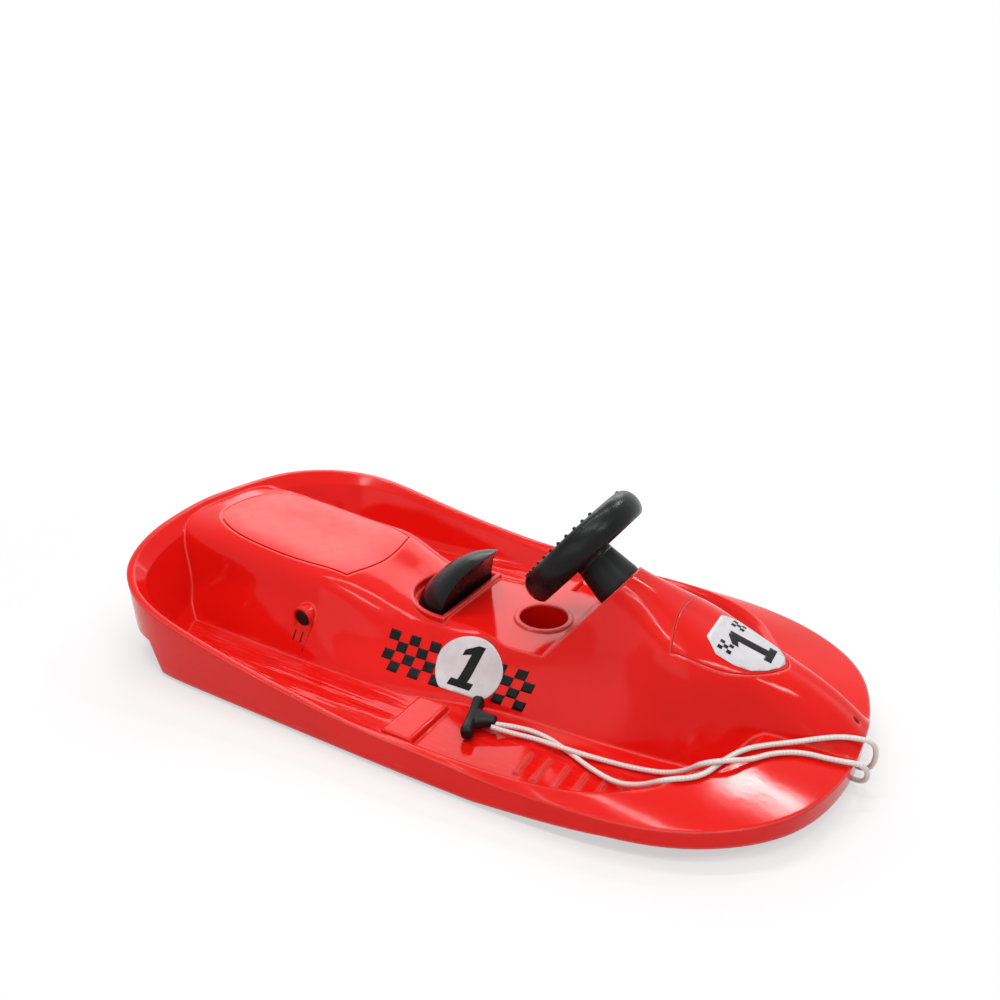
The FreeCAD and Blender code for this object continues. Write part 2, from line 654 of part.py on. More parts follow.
def hood_cover():
    sheet = HUMP_FACE.extrude(DOWN * COVER_THICK)
    return sheet.common(plan_prism(cover_shares, COVER_GAP))


def seat_pad():
    low = HUMP_FACE.translated(DOWN * (PAD_RECESS - FIT))
    return low.extrude(UP * PAD_THICK).common(plan_prism(pad_shares, 0))


def steering_wheel():
    ring = WHEEL_DIAMETER / 2 - RIM_RADIAL / 2
    plane = WHEEL_REACH + RIM_DISH
    centre = Vector(ring, 0, plane)
    oval = Part.Ellipse(centre + Vector(0, 0, RIM_AXIAL / 2), centre - Vector(RIM_RADIAL / 2, 0, 0), centre)
    arcs = [oval.toShape(0, math.pi), oval.toShape(math.pi, 2 * math.pi)]
    rim = Part.Face(Part.Wire(arcs)).revolve(Vector(0, 0, 0), UP, 360)
    hub = rod(Vector(0, 0, HUB_LOW), UP, HUB_RADIUS, HUB_LENGTH)
    pieces = [hub]
    for turn in (90, 180, 270):
        spoke = box(0, ring, -SPOKE_WIDTH / 2, SPOKE_WIDTH / 2, plane - SPOKE_THICK, plane)
        spoke.rotate(Vector(0, 0, 0), UP, turn)
        pieces.append(spoke)
    for middle in (-90, 90):
        for i in range(NUB_COUNT):
            turn = math.radians(middle + NUB_ARC * (i / (NUB_COUNT - 1) - 0.5))
            spot = Vector(ring * math.cos(turn), ring * math.sin(turn), plane + RIM_AXIAL / 2)
            pieces.append(Part.makeSphere(NUB_RADIUS, spot))
    channel = tube(Vector(0, 0, plane - RIM_AXIAL), UP, ring + RIM_CHANNEL / 2, ring - RIM_CHANNEL / 2,
                   RIM_AXIAL / 2 + RIM_CHANNEL_DEPTH)
    wheel = rim.cut(channel).multiFuse(pieces)
    wheel = wheel.cut(rod(Vector(0, 0, 0), UP, SHAFT_RADIUS + FIT, WHEEL_REACH * 2))
    pin_z = HUB_LOW + HUB_LENGTH / 3
    wheel = wheel.cut(rod(Vector(0, -HULL_WIDTH / 4, pin_z), ACROSS, WHEEL_PIN_RADIUS + FIT, HULL_WIDTH / 2))
    return on_column(wheel)


def wheel_cap():
    top = HUB_LOW + HUB_LENGTH
    disc = rod(Vector(0, 0, top), UP, CAP_RADIUS, CAP_HEIGHT)
    disc = disc.makeFillet(CAP_HEIGHT / 2, [e for e in disc.Edges if e.BoundBox.ZMin > top + CAP_HEIGHT / 2])
    spigot = rod(Vector(0, 0, top - CAP_SPIGOT), UP, SHAFT_RADIUS, CAP_SPIGOT)
    return on_column(disc.fuse(spigot))


def wheel_pin():
    pin_z = HUB_LOW + HUB_LENGTH / 3
    return on_column(rod(Vector(0, -HUB_RADIUS, pin_z), ACROSS, WHEEL_PIN_RADIUS, 2 * HUB_RADIUS))


def boss_screw_spots():
    for turn in (45, 135, 225, 315):
        angle = math.radians(turn)
        yield Vector(BOSS_SCREW_RING * math.cos(angle), BOSS_SCREW_RING * math.sin(angle), 0)


def column_boss():
    foot = rod(Vector(0, 0, SEAT_GAP), UP, BOSS_BASE_RADIUS, BOSS_FOOT)
    cone = Part.makeCone(BOSS_BASE_RADIUS, BOSS_TOP_RADIUS, BOSS_LENGTH - BOSS_FOOT,
                         Vector(0, 0, SEAT_GAP + BOSS_FOOT), UP)
    boss = foot.fuse(cone)
    boss = boss.cut(rod(Vector(0, 0, -OVERRUN), UP, BUSH_RADIUS + FIT, BOSS_LENGTH + 3 * OVERRUN))
    for spot in boss_screw_spots():
        boss = boss.cut(rod(spot, UP, SCREW_RADIUS + FIT, SCREW_LENGTH))
    return on_column(boss)


def upper_bush():
    low = SEAT_GAP
    body = tube(Vector(0, 0, low), UP, BUSH_RADIUS, SHAFT_RADIUS + FIT, BOSS_LENGTH)
    return on_column(body)


def lower_bush():
    low = -BRACKET_DROP - BRACKET_THICK
    body = tube(Vector(0, 0, low), UP, BUSH_RADIUS, SHAFT_RADIUS + FIT, BRACKET_THICK)
    flange = tube(Vector(0, 0, -BRACKET_DROP + FIT), UP, BUSH_RADIUS + BUSH_FLANGE, SHAFT_RADIUS + FIT,
                  BUSH_FLANGE_THICK)
    neck = tube(Vector(0, 0, -BRACKET_DROP), UP, BUSH_RADIUS, SHAFT_RADIUS + FIT, BUSH_FLANGE_THICK)
    return on_column(body.fuse(neck).fuse(flange))


def steering_shaft():
    top = HUB_LOW + HUB_LENGTH - CAP_SPIGOT - SEAT_GAP
    bar = rod(Vector(0, 0, -SHAFT_REACH), UP, SHAFT_RADIUS, SHAFT_REACH + top)
    elbow = Part.makeSphere(SHAFT_RADIUS, Vector(0, 0, -SHAFT_REACH))
    arm = rod(Vector(0, 0, -SHAFT_REACH), Vector(-1, 0, 0), CRANK_RADIUS, CRANK_LENGTH)
    ball = Part.makeSphere(BALL_RADIUS, Vector(-CRANK_LENGTH, 0, -SHAFT_REACH))
    shaft = bar.multiFuse([elbow, arm, ball])
    pin_z = HUB_LOW + HUB_LENGTH / 3
    shaft = shaft.cut(rod(Vector(0, -HUB_RADIUS, pin_z), ACROSS, WHEEL_PIN_RADIUS + FIT, 2 * HUB_RADIUS))
    return on_column(shaft)


def shaft_collar():
    low = -BRACKET_DROP + FIT + BUSH_FLANGE_THICK + FIT
    ring = tube(Vector(0, 0, low), UP, SHAFT_RADIUS + COLLAR_WALL, SHAFT_RADIUS + FIT / 2, COLLAR_LENGTH)
    return on_column(ring)


def boss_screws():
    """Four screws driven up through the dash skin into the column boss."""
    screws = []
    for spot in boss_screw_spots():
        low = spot - Vector(0, 0, WALL + FIT)
        shank = rod(low, UP, SCREW_RADIUS, SCREW_LENGTH - OVERRUN)
        head = rod(low, DOWN, SCREW_HEAD_RADIUS, SCREW_HEAD)
        screws.append(shank.fuse(head))
    return on_column(Part.makeCompound(screws))


def rudder():
    """Front runner: upturned ski, pivot hub and the fork that the crank's ball moves."""
    back, flat, tip = PIVOT_X - SKI_BACK, PIVOT_X + SKI_FLAT, PIVOT_X + SKI_TIP
    bend = (flat + tip) / 2
    low = [Vector(flat, 0, 0), Vector(bend, 0, SKI_TIP_RISE / 4), Vector(tip, 0, SKI_TIP_RISE)]
    high = [p + UP * SKI_THICK for p in low]
    edges = [Part.makeLine(Vector(back, 0, 0), low[0]), Part.Arc(*low).toShape(),
             Part.makeLine(low[2], high[2]), Part.Arc(*high).toShape(),
             Part.makeLine(high[0], Vector(back, 0, SKI_THICK)),
             Part.makeLine(Vector(back, 0, SKI_THICK), Vector(back, 0, 0))]
    face = Part.Face(Part.Wire(Part.__sortEdges__(edges)))
    face.translate(Vector(0, -SKI_WIDTH / 2, 0))
    ski = face.extrude(ACROSS * SKI_WIDTH)
    hub = rod(Vector(PIVOT_X, 0, SKI_THICK / 2), UP, RUDDER_HUB_RADIUS, FORK_HIGH - SKI_THICK / 2)
    half_fork = BALL_RADIUS + FORK_CLEARANCE + FORK_WALL
    arm = box(BALL.x - FORK_TAIL, PIVOT_X, -half_fork, half_fork, FORK_LOW, FORK_HIGH)
    slot = box(BALL.x - FORK_TAIL - OVERRUN, BALL.x + FORK_FRONT, -BALL_RADIUS - FORK_CLEARANCE,
               BALL_RADIUS + FORK_CLEARANCE, FORK_LOW - OVERRUN, FORK_HIGH + OVERRUN)
    web = box(back, flat, -SKI_WEB / 2, SKI_WEB / 2, SKI_THICK / 2, FORK_LOW + OVERRUN)
    body = ski.multiFuse([hub, arm.cut(slot), web])
    bore = rod(Vector(PIVOT_X, 0, -OVERRUN), UP, RUDDER_PIN_RADIUS + FIT, DEEP)
    sink = rod(Vector(PIVOT_X, 0, -OVERRUN), UP, RUDDER_PIN_HEAD + SEAT_GAP,
               OVERRUN + RUDDER_PIN_HEAD_THICK + 2 * SEAT_GAP)
    return body.cut(bore).cut(sink)


def rudder_pin():
    low = Vector(PIVOT_X, 0, SEAT_GAP)
    head = rod(low, UP, RUDDER_PIN_HEAD, RUDDER_PIN_HEAD_THICK)
    shank = rod(low, UP, RUDDER_PIN_RADIUS, PIVOT_TUBE_LOW + RUDDER_PIN_GRIP - SEAT_GAP - FIT)
    return head.fuse(shank)


def rudder_washer():
    low = Vector(PIVOT_X, 0, FORK_HIGH + SEAT_GAP)
    return tube(low, UP, WASHER_RADIUS, RUDDER_PIN_RADIUS + FIT, WASHER_THICK)


def dome(grow):
    """Rear half of an egg that leans forward, for the brake handle's outside or, shrunk, its inside."""
    height = DOME_HEIGHT + grow
    form = FreeCAD.Matrix()
    form.scale(DOME_LENGTH + grow, DOME_WIDTH / 2 + grow, height)
    form.A13 = height * LEAN
    egg = Part.makeSphere(1).transformGeometry(form)
    egg.translate(Vector(DOME_FRONT, 0, DOME_BASE))
    far = DOME_FRONT - DEEP
    points = [(DOME_FRONT, DOME_BASE), (DOME_FRONT + LEAN * DEEP, DOME_BASE + DEEP), (far, DOME_BASE + DEEP),
              (far, DOME_BASE)]
    loop = [Vector(x, -DOME_WIDTH, z) for x, z in points]
    keep = Part.Face(Part.makePolygon(loop + loop[:1])).extrude(ACROSS * (2 * DOME_WIDTH))
    return egg.common(keep)


def dome_scoop(grow):
    """Roller that hollows the handle's front, across the sled."""
    reach = (DOME_SCOOP_RADIUS - DOME_SCOOP_DEPTH) / math.hypot(1, LEAN)
    x = DOME_FRONT + LEAN * DOME_HEIGHT / 2 + reach
    z = DOME_BASE + DOME_HEIGHT / 2 - LEAN * reach
    return rod(Vector(x, -DOME_WIDTH, z), ACROSS, DOME_SCOOP_RADIUS + grow, 2 * DOME_WIDTH)


def brake_handle():
    inside = dome(-DOME_WALL).cut(dome_scoop(DOME_WALL))
    pad_end = WEB_X + lever_pad_share * LEVER_THICK
    core = box(WEB_X, pad_end, -LEVER_WIDTH / 2, LEVER_WIDTH / 2, PAD_TOP + FIT, DOME_BASE + DEEP)
    body = dome(0).cut(dome_scoop(0)).cut(inside.cut(core))
    for x in handle_screw_spots():
        body = body.cut(rod(Vector(x, 0, PAD_TOP), UP, SCREW_RADIUS + FIT, SCREW_LENGTH))
    return body


def handle_screw_spots():
    return [WEB_X + share * LEVER_THICK for share in handle_screw_shares]


def handle_screws():
    screws = []
    for x in handle_screw_spots():
        low = Vector(x, 0, PAD_TOP - LEVER_THICK)
        shank = rod(low, UP, SCREW_RADIUS, SCREW_LENGTH)
        screws.append(shank.fuse(rod(low, DOWN, SCREW_HEAD_RADIUS, SCREW_HEAD)))
    return Part.makeCompound(screws)


def brake_lever():
    """Bent strap from the handle past the axle to the claw."""
    half = LEVER_THICK * lever_half_share
    pad_end = WEB_X + lever_pad_share * LEVER_THICK
    dip = LEVER_DIP
    claw_top = CLAW_TIP + CLAW_HEIGHT
    points = [(pad_end, PAD_TOP), (WEB_X, PAD_TOP), (WEB_X, dip + LEVER_THICK), (AXLE_X, AXLE_HEIGHT + half),
              (CLAW_X, claw_top), (CLAW_X, claw_top - LEVER_THICK), (AXLE_X, AXLE_HEIGHT - half),
              (WEB_X + LEVER_THICK, dip), (WEB_X + LEVER_THICK, PAD_TOP - LEVER_THICK),
              (pad_end, PAD_TOP - LEVER_THICK)]
    loop = [Vector(x, -LEVER_WIDTH / 2, z) for x, z in points]
    strap = Part.Face(Part.makePolygon(loop + loop[:1])).extrude(ACROSS * LEVER_WIDTH)
    hub = rod(Vector(AXLE_X, -LEVER_HUB_WIDTH / 2, AXLE_HEIGHT), ACROSS, LEVER_HUB_RADIUS, LEVER_HUB_WIDTH)
    body = strap.fuse(hub)
    body = body.cut(rod(Vector(AXLE_X, -HALF_WIDTH, AXLE_HEIGHT), ACROSS, AXLE_RADIUS + FIT, HULL_WIDTH))
    for x in handle_screw_spots():
        top = Vector(x, 0, PAD_TOP + OVERRUN)
        body = body.cut(rod(top, DOWN, SCREW_RADIUS + FIT, LEVER_THICK + 2 * OVERRUN))
    for y in rivet_spots():
        body = body.cut(rod(Vector(CLAW_X - OVERRUN, y, rivet_height()), Vector(1, 0, 0), RIVET_RADIUS + FIT,
                            LEVER_THICK * 2 + OVERRUN))
    return body


def rivet_spots():
    return (-LEVER_WIDTH / 4, LEVER_WIDTH / 4)


def rivet_height():
    return CLAW_TIP + CLAW_HEIGHT - LEVER_THICK / 2


def brake_claw():
    """Toothed plate on the end of the lever."""
    pitch = CLAW_WIDTH / CLAW_TEETH
    top, root = CLAW_TIP + CLAW_HEIGHT, CLAW_TIP + CLAW_HEIGHT / 2
    points = [(-CLAW_WIDTH / 2, top)]
    for i in range(CLAW_TEETH):
        start = -CLAW_WIDTH / 2 + i * pitch
        points.append((start, root))
        points += [(start + pitch * share, CLAW_TIP) for share in tooth_shares]
    points += [(CLAW_WIDTH / 2, root), (CLAW_WIDTH / 2, top)]
    loop = [Vector(CLAW_X - FIT, y, z) for y, z in points]
    plate = Part.Face(Part.makePolygon(loop + loop[:1])).extrude(Vector(-CLAW_THICK, 0, 0))
    for y in rivet_spots():
        front = Vector(CLAW_X + OVERRUN, y, rivet_height())
        plate = plate.cut(rod(front, Vector(-1, 0, 0), RIVET_RADIUS + FIT, CLAW_THICK + 2 * OVERRUN))
    return plate


def claw_rivets():
    rivets = []
    for y in rivet_spots():
        start = Vector(CLAW_X - FIT - CLAW_THICK, y, rivet_height())
        shank = rod(start, Vector(1, 0, 0), RIVET_RADIUS, CLAW_THICK + LEVER_THICK)
        rivets.append(shank.fuse(rod(start, Vector(-1, 0, 0), RIVET_HEAD_RADIUS, RIVET_HEAD)))
    return Part.makeCompound(rivets)


def brake_axle():
    end = AXLE_FACE - AXLE_CAP_SPIGOT - SEAT_GAP
    return rod(Vector(AXLE_X, -end, AXLE_HEIGHT), ACROSS, AXLE_RADIUS, 2 * end)


def axle_cap(side):
    face = Vector(AXLE_X, side * (AXLE_FACE + FIT), AXLE_HEIGHT)
    head = rod(face, ACROSS * side, AXLE_CAP_RADIUS, AXLE_CAP_HEIGHT)
    crown = [e for e in head.Edges if abs(e.BoundBox.Center.y - face.y) > AXLE_CAP_HEIGHT / 2 and e.Closed]
    head = head.makeFillet(AXLE_CAP_HEIGHT / 2, crown)
    return head.fuse(rod(face, ACROSS * -side, AXLE_CAP_SPIGOT_RADIUS, AXLE_CAP_SPIGOT))


def lever_spacers():
    start = LEVER_HUB_WIDTH / 2 + SEAT_GAP
    length = AXLE_FACE - AXLE_BOSS_DEPTH - start - SEAT_GAP
    tubes = []
    for side in (-1, 1):
        low = Vector(AXLE_X, side * start, AXLE_HEIGHT)
        tubes.append(tube(low, ACROSS * side, AXLE_RADIUS + FIT + SPACER_WALL, AXLE_RADIUS + FIT, length))
    return Part.makeCompound(tubes)


def tow_handle():
    """Grip bar with round ends and the snout that the rope leaves."""
    start, end = [Vector(*p) for p in grip_points]
    snout = Vector(*snout_point)
    middle = (start + end) / 2
    along = snout - middle
    bar = rod(start, end - start, GRIP_RADIUS, (end - start).Length)
    ends = [Part.makeSphere(GRIP_RADIUS, p) for p in (start, end)]
    neck = Part.makeCone(NECK_RADIUS, SNOUT_RADIUS, along.Length, middle, along)
    return bar.multiFuse(ends + [neck]).cut([tow_rope(left_points), tow_rope(right_points)])


def tow_rope(places):
    """Rope along straight runs joined by tangent bends."""
    points = [Vector(*p) for p in places]
    edges, start = [], points[0]
    for before, corner, after in zip(points, points[1:], points[2:]):
        back, ahead = before - corner, after - corner
        step = bend_share * min(back.Length, ahead.Length)
        back.normalize()
        ahead.normalize()
        half = back.getAngle(ahead) / 2
        radius = step * math.tan(half)
        inside = (back + ahead).normalize()
        top = corner + inside * (step / math.cos(half) - radius)
        edges.append(Part.makeLine(start, corner + back * step))
        start = corner + ahead * step
        edges.append(Part.Arc(corner + back * step, top, start).toShape())
        bends.append(radius)
    edges.append(Part.makeLine(start, points[-1]))
    path = Part.Wire(edges)
    ring = Part.Wire(Part.makeCircle(ROPE_RADIUS, points[0], points[1] - points[0]))
    lengths.append(path.Length)
    return path.makePipeShell([ring], True, True)


def rope_knot():
    ball = Part.makeSphere(KNOT_RADIUS, Vector(*knot_point))
    return ball.cut([tow_rope(left_points), tow_rope(right_points)])


bends = []
lengths = []
NODES = {
    "hull": hull, "hood_cover": hood_cover, "seat_pad": seat_pad,
    "steering_wheel": steering_wheel, "wheel_cap": wheel_cap, "wheel_pin": wheel_pin,
    "column_boss": column_boss, "upper_bush": upper_bush, "lower_bush": lower_bush,
    "steering_shaft": steering_shaft, "shaft_collar": shaft_collar, "boss_screws": boss_screws,
    "rudder": rudder, "rudder_pin": rudder_pin, "rudder_washer": rudder_washer,
    "brake_handle": brake_handle, "handle_screws": handle_screws, "brake_lever": brake_lever,
    "brake_claw": brake_claw, "claw_rivets": claw_rivets, "brake_axle": brake_axle,
    "axle_cap_right": lambda: axle_cap(-1), "axle_cap_left": lambda: axle_cap(1),
    "lever_spacers": lever_spacers,
    "tow_handle": tow_handle, "tow_rope_left": lambda: tow_rope(left_points),
    "tow_rope_right": lambda: tow_rope(right_points), "rope_knot": rope_knot,
}

os.makedirs("parts", exist_ok=True)
for name, make in NODES.items():
    shape = make()
    shape.exportStep("parts/" + name + ".step")
    print(name, "solids", len(shape.Solids), "valid", shape.isValid(), "volume", round(shape.Volume))
print("rope lengths", sorted(set(round(x, 1) for x in lengths)), "tightest bend", round(min(bends), 1))
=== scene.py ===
import json
import math

import bmesh
import bpy
import numpy as np
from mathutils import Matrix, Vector
from mathutils.bvhtree import BVHTree


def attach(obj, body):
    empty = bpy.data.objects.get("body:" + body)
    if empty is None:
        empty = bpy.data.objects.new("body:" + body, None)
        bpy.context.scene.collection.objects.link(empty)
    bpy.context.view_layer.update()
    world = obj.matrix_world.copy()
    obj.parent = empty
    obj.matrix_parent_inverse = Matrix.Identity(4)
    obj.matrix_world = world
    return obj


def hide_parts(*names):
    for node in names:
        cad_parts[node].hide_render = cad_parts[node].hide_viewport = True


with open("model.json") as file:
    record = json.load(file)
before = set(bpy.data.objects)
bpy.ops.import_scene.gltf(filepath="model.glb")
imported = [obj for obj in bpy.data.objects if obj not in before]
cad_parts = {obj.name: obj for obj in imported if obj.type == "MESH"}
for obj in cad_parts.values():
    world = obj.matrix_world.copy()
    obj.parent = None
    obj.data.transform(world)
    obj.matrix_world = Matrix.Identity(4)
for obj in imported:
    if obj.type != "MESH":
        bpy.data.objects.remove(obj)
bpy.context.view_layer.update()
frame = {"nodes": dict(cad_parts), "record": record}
nodes = frame["nodes"]
scene = bpy.context.scene
scene.view_settings.view_transform = "Standard"
MM = 0.001


# Camera at the photograph's place, in metres
CAMERA_PLACE = (0.53398, -0.89045, 0.64987)
CAMERA_TARGET = (0.0, 0.0, 0.09455)
FOCAL_LENGTH = 29.757
SENSOR_WIDTH = 36.0
FRAME_SHIFT = (0.0168, 0.0953)
CLIP_RANGE = (0.02, 60.0)


def facing(place, target):
    """Rotation of a camera or lamp at a place that looks at a target."""
    return (Vector(target) - Vector(place)).to_track_quat("-Z", "Y").to_euler()


camera = bpy.data.objects.new("camera", bpy.data.cameras.new("camera"))
scene.collection.objects.link(camera)
scene.camera = camera
camera.location = CAMERA_PLACE
camera.rotation_euler = facing(CAMERA_PLACE, CAMERA_TARGET)
camera.data.sensor_width = SENSOR_WIDTH
camera.data.lens = FOCAL_LENGTH
camera.data.shift_x, camera.data.shift_y = FRAME_SHIFT
camera.data.clip_start, camera.data.clip_end = CLIP_RANGE


# Materials: noise scales are per metre, bump distances and edge radii are in metres
NOISE_RANGE = (0.3, 0.7)
EDGE_TURN = (0.80, 0.985)
BEVEL_SAMPLES = 8
RED_SPECULAR = 0.15
RED = ((0.65, 0.0055, 0.0035), (0.71, 0.0075, 0.0048))
# Paler red of the painted highlight along the edges
EDGE_HIGHLIGHT_RED = (0.86, 0.17, 0.14)
WORN_RED = (0.80, 0.10, 0.10)
# Rope colours: the painted shade between the strands, the pale crowns, and dirt
ROPE_GAP_SHADE, ROPE_CROWN, ROPE_DIRT = (0.22, 0.19, 0.18), (0.74, 0.70, 0.66), (0.42, 0.35, 0.32)


class Shader:
    """A node material and short calls for adding nodes to it."""

    def __init__(self, name, **values):
        self.material = bpy.data.materials.new(name)
        self.material.use_nodes = True
        self.tree = self.material.node_tree
        self.bsdf = self.tree.nodes["Principled BSDF"]
        self.set(**values)
        self.place = self.add("ShaderNodeTexCoord").outputs["Object"]

    def set(self, **values):
        for key, value in values.items():
            self.plug(self.bsdf.inputs[key.replace("_", " ")], value)
        return self

    def plug(self, socket, value):
        if isinstance(value, bpy.types.NodeSocket):
            self.tree.links.new(value, socket)
        else:
            socket.default_value = value

    def add(self, kind, inputs=None, **settings):
        node = self.tree.nodes.new(kind)
        for key, value in settings.items():
            setattr(node, key, value)
        for key, value in (inputs or {}).items():
            self.plug(node.inputs[key], value)
        return node

    def noise(self, scale, detail=2.0, stretch=None, rough=0.5):
        place = self.place
        if stretch:
            mapping = self.add("ShaderNodeMapping", {"Vector": place, "Scale": stretch})
            place = mapping.outputs[0]
        node = self.add("ShaderNodeTexNoise", {
            "Vector": place, "Scale": scale, "Detail": detail, "Roughness": rough,
        })
        return node.outputs["Fac"]

    def span(self, value, a, b, c, d):
        """Value's range a to b taken to c to d, and held at the ends."""
        node = self.add("ShaderNodeMapRange", {
            "Value": value, "From Min": a, "From Max": b, "To Min": c, "To Max": d,
        })
        return node.outputs["Result"]

    def vary(self, noise, low, high):
        """Low to high over the range that a noise mostly stays in."""
        return self.span(noise, *NOISE_RANGE, low, high)

    def math(self, operation, a, b=0.0):
        return self.add("ShaderNodeMath", {0: a, 1: b}, operation=operation).outputs[0]

    def times(self, a, b):
        return self.math("MULTIPLY", a, b)

    def ramp(self, value, low, high, ends=NOISE_RANGE):
        node = self.add("ShaderNodeValToRGB", {"Fac": value})
        for element, end, colour in zip(node.color_ramp.elements, ends, (low, high)):
            element.position = end
            element.color = (*colour, 1)
        return node.outputs["Color"]

    def mix(self, share, colour, other):
        """A linked colour with a share of another, which is the same all over."""
        node = self.add("ShaderNodeMix", {"Factor": share}, data_type="RGBA")
        self.plug(node.inputs[6], colour)
        self.plug(node.inputs[7], (*other, 1))
        return node.outputs[2]

    def bump(self, height, strength, distance, normal=None):
        node = self.add("ShaderNodeBump", {
            "Height": height, "Strength": strength, "Distance": distance,
        })
        if normal:
            self.plug(node.inputs["Normal"], normal)
        return node.outputs["Normal"]

    def soft_edges(self, radius):
        node = self.add("ShaderNodeBevel", {"Radius": radius}, samples=BEVEL_SAMPLES)
        return node.outputs["Normal"]

    def edges(self, bevelled):
        """Share of 0 on open surfaces and 1 on edges, where the softened normal turns away."""
        real = self.add("ShaderNodeNewGeometry").outputs["Normal"]
        turn = self.add("ShaderNodeVectorMath", {0: bevelled, 1: real}, operation="DOT_PRODUCT")
        return self.span(turn.outputs["Value"], *EDGE_TURN, 1.0, 0.0)


def red_plastic():
    """Glossy hull red: soft edges with a painted pale highlight along them, a faint waviness, drag
    marks on the footwell floors.
    """
    s = Shader("hull red", Specular_IOR_Level=RED_SPECULAR)
    x, y, z = s.add("ShaderNodeSeparateXYZ", {0: s.place}).outputs[:3]
    cloud = s.noise(7.0, 3.0)
    colour = s.ramp(cloud, *RED)

    # Footwell floors, found by their height and by their distance from the middle
    under_walls = s.span(z, 0.0135, 0.021, 1.0, 0.0)
    over_keels = s.span(z, 0.009, 0.011, 0.0, 1.0)
    beside_hump = s.span(s.math("ABSOLUTE", y), 0.12, 0.16, 0.0, 1.0)
    floor = s.times(s.times(under_walls, beside_hump), over_keels)
    rear = s.times(floor, s.span(x, -0.03, 0.01, 1.0, 0.0))

    scuffs = s.noise(30.0, 6.0, (1.0, 9.0, 9.0), 0.7)
    worn = s.times(floor, s.span(scuffs, 0.52, 0.75, 0.0, 0.35))
    colour = s.mix(worn, colour, WORN_RED)
    rough = s.math("ADD", s.vary(s.noise(22.0, 4.0), 0.08, 0.14), s.times(worn, 0.2))
    normal = s.soft_edges(0.006)
    # Painted highlight: a paler red mixed in along the edges, where the softened normal turns away
    edge_highlight = s.times(s.edges(normal), s.vary(cloud, 0.35, 0.6))
    colour = s.mix(edge_highlight, colour, EDGE_HIGHLIGHT_RED)

    # Waviness of the walls, orange peel, fine grain, then broad and fine drag marks
    normal = s.bump(s.noise(11.0, 1.0), 0.22, 0.004, normal)
    normal = s.bump(s.noise(140.0, 1.0), 0.05, 0.0008, normal)
    normal = s.bump(s.noise(900.0, 2.0), 0.03, 0.0002, normal)
    normal = s.bump(s.noise(15.0, 1.5, (0.22, 1.0, 0.3)), s.times(rear, 0.9), 0.035, normal)
    normal = s.bump(s.noise(70.0, 2.0, (0.07, 1.0, 0.3)), s.times(rear, 0.5), 0.006, normal)
    return s.set(Base_Color=colour, Roughness=rough, Normal=normal).material


def cover_plastic():
    """The hull's red on the hood cover, with finer edges and a fainter painted highlight along
    them.
    """
    s = Shader("cover red", Specular_IOR_Level=RED_SPECULAR)
    colour = s.ramp(s.noise(9.0, 3.0), *RED)
    rough = s.vary(s.noise(26.0, 4.0), 0.10, 0.17)
    normal = s.soft_edges(0.0014)
    # Painted highlight: a share of the paler red along the cover's edges
    colour = s.mix(s.times(s.edges(normal), 0.4), colour, EDGE_HIGHLIGHT_RED)
    normal = s.bump(s.noise(140.0, 1.0), 0.05, 0.0008, normal)
    return s.set(Base_Color=colour, Roughness=rough, Normal=normal).material


def seat_plastic():
    """Satin seat inlay with a fine spark-eroded grain."""
    s = Shader("seat red", Specular_IOR_Level=0.36)
    colour = s.ramp(s.noise(12.0, 4.0), (0.70, 0.016, 0.013), (0.77, 0.027, 0.022))
    rough = s.vary(s.noise(60.0, 5.0), 0.36, 0.46)
    normal = s.bump(s.noise(1500.0, 3.0), 0.30, 0.0004, s.soft_edges(0.0012))
    return s.set(Base_Color=colour, Roughness=rough, Normal=normal).material


def black_plastic(name, low, high, rough, grain_scale, grain, edge):
    """Black moulding with soft edges: dusty bloom, a faint waviness, and grain."""
    s = Shader(name, Specular_IOR_Level=0.16)
    colour = s.ramp(s.noise(28.0, 5.0, None, 0.65), low, high)
    normal = s.bump(s.noise(55.0, 1.0), 0.25, 0.0025, s.soft_edges(edge))
    normal = s.bump(s.noise(grain_scale, 3.0), grain, 0.0004, normal)
    shine = s.vary(s.noise(45.0, 4.0), rough - 0.06, rough + 0.08)
    return s.set(Base_Color=colour, Roughness=shine, Normal=normal).material


def steel():
    """Zinc-plated steel, brushed across."""
    s = Shader("zinc steel", Metallic=1.0)
    colour = s.ramp(s.noise(70.0, 5.0), (0.42, 0.43, 0.44), (0.62, 0.62, 0.60))
    rough = s.vary(s.noise(240.0, 3.0, (1.0, 0.06, 1.0)), 0.28, 0.46)
    normal = s.bump(s.noise(600.0, 2.0), 0.08, 0.0002, s.soft_edges(0.0006))
    return s.set(Base_Color=colour, Roughness=rough, Normal=normal).material


def nylon():
    """Off-white bearing nylon."""
    s = Shader("natural nylon", Specular_IOR_Level=0.45, Subsurface_Weight=0.05)
    colour = s.ramp(s.noise(60.0, 4.0), (0.70, 0.69, 0.64), (0.80, 0.79, 0.75))
    rough = s.vary(s.noise(80.0), 0.38, 0.5)
    normal = s.bump(s.noise(500.0, 2.0), 0.10, 0.0002, s.soft_edges(0.0005))
    return s.set(Base_Color=colour, Roughness=rough, Normal=normal).material


